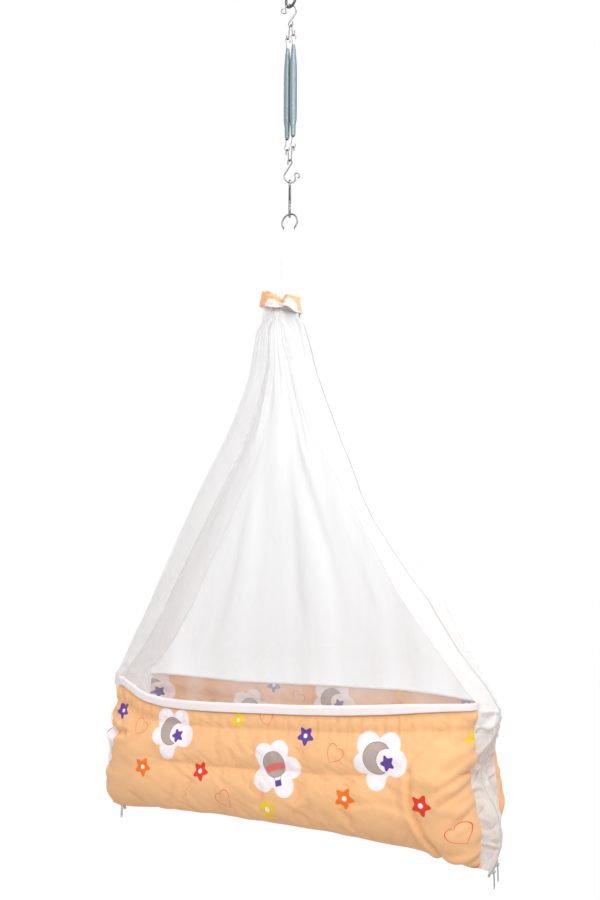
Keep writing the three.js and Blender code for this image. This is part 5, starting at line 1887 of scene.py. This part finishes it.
        cloth = self.wardrobe.tape
        tape = Tailor.grid(f"{self.word}_rim_tape", 200, 20, [face], flat_chart(0.95, 0.04), cloth)
        Tailor.thicken(tape, 0.7 * MM)
        dressed(tape, "cradle_body", "white_cotton", f"{self.word}_binding")
        across = np.linspace(0.01, 0.985, 260)
        low = np.full_like(across, 0.12)
        places, ahead = face(across, low), face(across + 0.001, low)
        places[:, 1] += self.side * 0.0004
        ahead[:, 1] += self.side * 0.0004
        outs = np.tile((0.0, float(self.side), 0.0), (len(across), 1))
        ways = ahead - places
        places[:, 2] += RIM_LEVEL
        made = Tailor.beads(f"{self.word}_tape_stitches", places, ways, outs,
                            (0.0028, 0.0006, 0.0005), self.wardrobe.pale_thread)
        dressed(made, "cradle_body", "white_cotton")
        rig.sheet(tape, flat=(0.95, 0.036 if self.side < 0 else 0.022), held="folded",
                 rests_on=[f"{self.word}_padding"], with_pieces=[made])


@dataclass
class Bottom:
    """Bottom cloth, board and mattress."""

    wardrobe: Wardrobe
    thickness: float = 1.4 * MM
    mattress_low: float = -0.2277
    mattress_height: float = 0.038
    crown: float = 0.0085
    half_length: float = 0.372
    half_depth: float = 0.088

    def floor(self, across: Array, along: Array) -> Points:
        """The bottom cloth between the feet of the walls."""
        side = 2 * across - 1
        wall = PaddedWall(self.wardrobe, 1, "back")
        ends = 0.5 + 0.5 * side * 0.955
        edge = wall.base(ends, np.ones_like(ends))
        y = edge[:, 1] * (2 * along - 1)
        sag = 0.0014 * Ripples(7).at(edge[:, 0] / 0.16, y / 0.09)
        return np.stack([edge[:, 0] * 0.992, y,
                         FORM.foot(edge[:, 0]) - 0.0009 + np.minimum(sag, 0.0008)], axis=1)

    def pad(self, upper: bool) -> Surface:
        """Upper or lower face of the mattress."""

        def face(across: Array, along: Array) -> Points:
            """Point of the mattress."""
            u, v = 2 * across - 1, 2 * along - 1
            edge = np.maximum(np.abs(u), np.abs(v))
            corner = 1 - 0.11 * (u * v) ** 4
            inner = 1 - np.clip(edge, 0, 1) ** 10
            x = u * (self.half_length - 0.006 * (1 - inner)) * mixed(1, corner, 0.55)
            y = v * self.half_depth * corner
            rise = mixed(0.5, 1.0 if upper else 0.0, inner**0.5)
            crown = self.crown * (1 - v**2) * (1 - u**8) if upper else 0
            tufts = -0.003 * np.exp(-((np.abs((u * 4) % 1 - 0.5) / 0.07) ** 2
                                      + (np.abs(np.abs(v) - 0.45) / 0.10) ** 2)) * upper
            z = self.mattress_low + self.mattress_height * rise + crown * inner + tufts * inner
            return np.stack([x, y, z], axis=1)

        return face

    def build(self) -> None:
        """Makes the bottom's pieces."""
        chart = flat_chart(0.84, 0.18, (0.0, 0.05))
        floor = Tailor.grid("bottom_cloth", 110, 26, [self.floor], chart, self.wardrobe.print)
        Tailor.thicken(floor, self.thickness)
        dressed(floor, "cradle_body", "printed_orange_cotton", "floor_panel")
        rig.sheet(floor, flat=(0.84, 0.18), held="stretched", area=0.13,
                 rests_on=["front_padding", "back_padding"])
        chart = flat_chart(0.75, 0.19)
        mattress = Tailor.grid("mattress_pad", 96, 30, [self.pad(True), self.pad(False)], chart,
                               self.wardrobe.mattress)
        self.puff(mattress)
        Tailor.refine(mattress)
        dressed(mattress, "cradle_body", "mattress_cotton", "mattress")
        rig.padded(mattress, fill=0.75)
        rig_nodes()["base_board"].data.materials[0] = self.wardrobe.board

    def puff(self, mattress: Piece) -> None:
        """Swells the mattress between its tufts."""
        points = Tailor.points(mattress.data)
        low = points[:, 2] < RIM_LEVEL + self.mattress_low + 0.004
        Tailor.inflate(mattress, np.where(low, 1.0, 0.0), MATTRESS_PUFF)


@dataclass
class Zips:
    """Tapes, teeth, stops, sliders and pulls."""

    wardrobe: Wardrobe
    pitch: float = 0.0030
    low_turn: float = math.radians(-35)

    def line(self, along: Array, end: int) -> Points:
        """Middle of a zip, from its foot up to the band."""
        foot = FORM.arc_radius * math.sin(self.low_turn) - FORM.arc_drop
        z = mixed(foot, FORM.canopy_height, along)
        return np.stack([end * FORM.zip_line(z, end) + FORM.shift(z), np.zeros_like(z), z], axis=1)

    def tape(self, end: int, side: int) -> Surface:
        """Face of one tape."""

        def face(across: Array, along: Array) -> Points:
            """Point of the tape."""
            middle = self.line(along, end)
            bulge = 0.0006 * np.sin(math.pi * across)
            middle[:, 0] += end * (bulge - 0.0008)
            middle[:, 1] = side * mixed(0.0007, FORM.tape_edge + 0.0006, across)
            return middle

        return face

    def teeth(self, end: int) -> tuple[Points, Points, Points]:
        """Places, directions and outward directions of one zip's teeth."""
        along = np.linspace(0, 1, 2400)
        line = self.line(along, end)
        lengths = np.concatenate([[0], np.cumsum(np.linalg.norm(np.diff(line, axis=0), axis=1))])
        marks = np.arange(0.002, lengths[-1] - 0.002, self.pitch)
        places = np.stack([np.interp(marks, lengths, line[:, axis]) for axis in range(3)], axis=1)
        ways = np.gradient(places, axis=0)
        outs = np.cross(ways, (0, 1, 0)) * -end
        outs /= np.linalg.norm(outs, axis=1)[:, None]
        rows = []
        for side in (-1, 1):
            shifted = places + np.array((0, side * 0.00105, 0)) - outs * 0.0007
            rows.append((shifted, np.tile((0.0, 1.0, 0.0), (len(marks), 1)), outs))
        return tuple(np.concatenate([row[index] for row in rows]) for index in range(3))

    def build(self) -> None:
        """Makes both zips."""
        for end, end_word in ((-1, "left"), (1, "right")):
            chart = flat_chart(0.004, 1.2)
            for side, word in ((-1, "front"), (1, "back")):
                tape = Tailor.grid(f"{end_word}_{word}_zip_tape", 5, 420, [self.tape(end, side)],
                                   chart, self.wardrobe.nylon)
                Tailor.thicken(tape, 0.9 * MM)
                dressed(tape, "cradle_body", "zip_nylon", f"{end_word}_zip_{word}_tape")
            places, ways, outs = self.teeth(end)
            places[:, 2] += RIM_LEVEL
            teeth = Tailor.beads(f"{end_word}_zip_teeth", places, ways, outs,
                                 (0.0022, 0.0016, 0.0016), self.wardrobe.teeth)
            dressed(teeth, "cradle_body", "zip_nylon")
            stop = Tailor.softened(f"{end_word}_zip_stop", f"{end_word}_bottom_stop",
                                   self.wardrobe.nickel, 0.0003)
            dressed(stop, "cradle_body", "zip_metal", f"{end_word}_zip_stop")
        for name in ("left", "right_lower", "right_upper"):
            for part, width in (("slider", 0.00022), ("pull", 0.00025)):
                node = f"{name}_{part}"
                made = Tailor.softened(node, f"{node}_metal", self.wardrobe.nickel, width)
                dressed(made, f"{node}_body", "zip_metal", node)


@dataclass(frozen=True)
class Lamp:
    """A square soft lamp, its aim, side and power."""

    name: str
    place: Triple
    aim: Triple
    size: float
    power: float


LAMPS = (
    Lamp("key", (1.3, -2.8, 0.9), (0, 0, -1.6), 1.1, 38),
    Lamp("top", (1.5, -0.6, 1.2), (0, 0, -1.4), 1.2, 26),
    Lamp("back", (-2.4, 2.0, -0.6), (0, 0, -1.5), 1.6, 44),
    Lamp("crown", (0.8, -1.9, -0.3), (0, 0, -0.8), 0.7, 10),
)


@dataclass
class Studio:
    """Camera, lights, floor and white surroundings."""

    focal: float = 30.0
    turn: float = math.radians(26.5)
    distance: float = 1.665
    height: float = 0.294
    pitch: float = math.radians(7.8)
    roll: float = math.radians(0.2)
    yaw: float = math.radians(-0.9)
    lens_width: float = 36.0
    floor_level: float = -2.75
    floor_size: float = 9.0
    floor_grey: float = 0.6
    floor_glow: float = 1.04
    floor_cover: float = 0.93
    daylight: float = 0.71

    def camera(self) -> None:
        """Places the camera as the photograph was taken."""
        right = Vector((math.cos(self.turn), math.sin(self.turn), 0))
        ahead = Vector((-math.sin(self.turn), math.cos(self.turn), 0))
        right, ahead = (right * math.cos(self.yaw) + ahead * math.sin(self.yaw),
                        ahead * math.cos(self.yaw) - right * math.sin(self.yaw))
        up = Vector((0, 0, 1))
        ahead, up = (ahead * math.cos(self.pitch) + up * math.sin(self.pitch),
                     up * math.cos(self.pitch) - ahead * math.sin(self.pitch))
        right, up = (right * math.cos(self.roll) + up * math.sin(self.roll),
                     up * math.cos(self.roll) - right * math.sin(self.roll))
        across, back = math.sin(self.turn) * self.distance, math.cos(self.turn) * self.distance
        place = Vector((across, -back, self.height + RIM_LEVEL))
        data = bpy.data.cameras.new("camera")
        data.lens, data.sensor_width = self.focal, self.lens_width
        camera = bpy.data.objects.new("camera", data)
        axes = Matrix((right, up, -ahead)).transposed().to_4x4()
        camera.matrix_world = Matrix.Translation(place) @ axes
        bpy.context.scene.collection.objects.link(camera)
        bpy.context.scene.camera = camera

    @staticmethod
    def light(lamp: Lamp) -> None:
        """Adds a soft lamp aimed at a point."""
        data = bpy.data.lights.new(lamp.name, "AREA")
        data.shape, data.size, data.energy = "SQUARE", lamp.size, lamp.power
        made = bpy.data.objects.new(lamp.name, data)
        way = Vector(lamp.aim) - Vector(lamp.place)
        turned = way.to_track_quat("-Z", "Y").to_matrix().to_4x4()
        made.matrix_world = Matrix.Translation(lamp.place) @ turned
        bpy.context.scene.collection.objects.link(made)

    def world(self) -> None:
        """White surroundings, dimmer as a light than as a background."""
        world = bpy.data.worlds.new("white_room")
        world.use_nodes = True
        bpy.context.scene.world = world
        nodes = Nodes(world.node_tree)
        background = world.node_tree.nodes["Background"]
        nodes.feed(background.inputs["Strength"],
                   nodes.seen() * (1 - self.daylight) + self.daylight)
        background.inputs["Color"].default_value = (1, 1, 1, 1)

    def floor(self) -> None:
        """A wide pale floor far below the cradle."""
        body = bmesh.new()
        low = Matrix.Translation((0, 0, self.floor_level))
        bmesh.ops.create_grid(body, x_segments=1, y_segments=1, size=self.floor_size, matrix=low)
        mesh = Tailor.meshed(body, "floor")
        finish = Finish("floor")
        finish.set(Base_Color=(*[self.floor_grey] * 3, 1.0), Roughness=0.9)
        lit = {"Color": (1, 1, 1, 1), "Strength": self.floor_glow}
        glow = finish.node("ShaderNodeEmission", None, lit)
        mix = finish.node("ShaderNodeMixShader", None, {0: finish.seen() * self.floor_cover})
        finish.tree.links.new(finish.shader.outputs[0], mix.inputs[1])
        finish.tree.links.new(glow.outputs[0], mix.inputs[2])
        output = finish.tree.nodes["Material Output"]
        finish.tree.links.new(mix.outputs[0], output.inputs["Surface"])
        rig.stage(Tailor.piece("floor", mesh, finish.material, False))

    def build(self) -> None:
        """Sets up everything round the cradle."""
        bpy.context.scene.view_settings.view_transform = "Standard"
        self.camera()
        self.world()
        self.floor()
        for lamp in LAMPS:
            self.light(lamp)


STRIP_FOLDS = {
    -1: (
        Crease(((0.008, -0.006), (0.018, -0.020), (0.029, -0.036)), 0.0050, 0.0040),
        Crease(((0.025, -0.013), (0.056, -0.018)), 0.0032, 0.0040),
        Crease(((0.008, -0.050), (0.030, -0.041), (0.056, -0.046)), 0.0042, 0.0048),
        Crease(((0.012, -0.060), (0.030, -0.076), (0.045, -0.100)), 0.0050, 0.0050),
        Crease(((0.002, -0.108), (0.030, -0.118), (0.058, -0.124)), 0.0040, 0.0042),
        Crease(((0.002, -0.146), (0.030, -0.149), (0.058, -0.158)), 0.0050, 0.0034),
        Crease(((0.006, -0.190), (0.030, -0.205), (0.058, -0.200)), 0.0026, 0.0060),
        Crease(((0.002, -0.245), (0.058, -0.247)), 0.0034, 0.0026),
    ),
    1: (
        Crease(((0.004, -0.022), (0.026, -0.046), (0.050, -0.078)), 0.0045, 0.0060),
        Crease(((0.004, -0.098), (0.050, -0.106)), 0.0040, 0.0042),
        Crease(((0.004, -0.131), (0.050, -0.126)), 0.0030, 0.0035),
        Crease(((0.002, -0.150), (0.050, -0.145)), 0.0042, 0.0034),
        Crease(((0.004, -0.200), (0.050, -0.214)), 0.0028, 0.0060),
    ),
}

FRONT_CREASES = (
    Crease(((0.313, -0.095), (0.315, -0.142), (0.321, -0.165), (0.339, -0.201), (0.356, -0.225),
            (0.370, -0.250)), 0.0065, 0.0050),
    Crease(((0.424, -0.050), (0.395, -0.072), (0.360, -0.100)), 0.0030, 0.0055),
    Crease(((0.424, -0.085), (0.395, -0.098), (0.362, -0.116)), 0.0030, 0.0050),
    Crease(((0.424, -0.103), (0.391, -0.122), (0.364, -0.142)), 0.0030, 0.0050),
    Crease(((0.424, -0.142), (0.405, -0.156), (0.380, -0.182)), 0.0025, 0.0045),
    Crease(((0.424, -0.180), (0.402, -0.186)), 0.0020, 0.0040),
    Crease(((0.424, -0.235), (0.402, -0.243), (0.384, -0.250)), 0.0030, 0.0050),
    Crease(((0.361, -0.030), (0.336, -0.059), (0.320, -0.075)), 0.0018, 0.0050),
    Crease(((-0.404, -0.012), (-0.392, -0.060), (-0.377, -0.104)), 0.0045, 0.0060),
    Crease(((-0.370, -0.010), (-0.355, -0.060), (-0.345, -0.093)), 0.0030, 0.0055),
    Crease(((-0.335, -0.040), (-0.334, -0.102)), 0.0015, 0.0050),
    Crease(((-0.430, -0.090), (-0.377, -0.104), (-0.335, -0.098)), 0.0090, 0.0065),
)

BACK_CREASES = (
    Crease(((0.424, -0.060), (0.392, -0.082), (0.355, -0.110)), 0.0030, 0.0055),
    Crease(((0.424, -0.120), (0.390, -0.136)), 0.0028, 0.0050),
    Crease(((0.424, -0.190), (0.396, -0.176)), 0.0026, 0.0050),
    Crease(((-0.424, -0.070), (-0.392, -0.090), (-0.350, -0.112)), 0.0030, 0.0055),
    Crease(((-0.424, -0.150), (-0.385, -0.146)), 0.0026, 0.0050),
    Crease(((-0.300, -0.120), (-0.312, -0.180), (-0.330, -0.235)), 0.0030, 0.0050),
)


def main() -> None:
    """Builds the cradle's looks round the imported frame."""
    logging.basicConfig(level=logging.INFO, format="%(name)s: %(message)s")
    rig.load()
    frame_box = [list(corner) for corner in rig.bounds()]
    studio = Studio()
    studio.build()
    wardrobe = Wardrobe()
    Hardware(wardrobe).build()
    Canopy(wardrobe).build()
    Band(wardrobe).build()
    Strap(wardrobe).build()
    PaddedWall(wardrobe, -1, "front", creases=FRONT_CREASES).build()
    PaddedWall(wardrobe, 1, "back", creases=BACK_CREASES).build()
    Bottom(wardrobe).build()
    Zips(wardrobe).build()
    with open("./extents.json", "w", encoding="utf-8") as sizes:
        json.dump({"frame": frame_box, "visual": [list(corner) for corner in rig.bounds()]}, sizes)


if __name__ == "__main__":
    main()
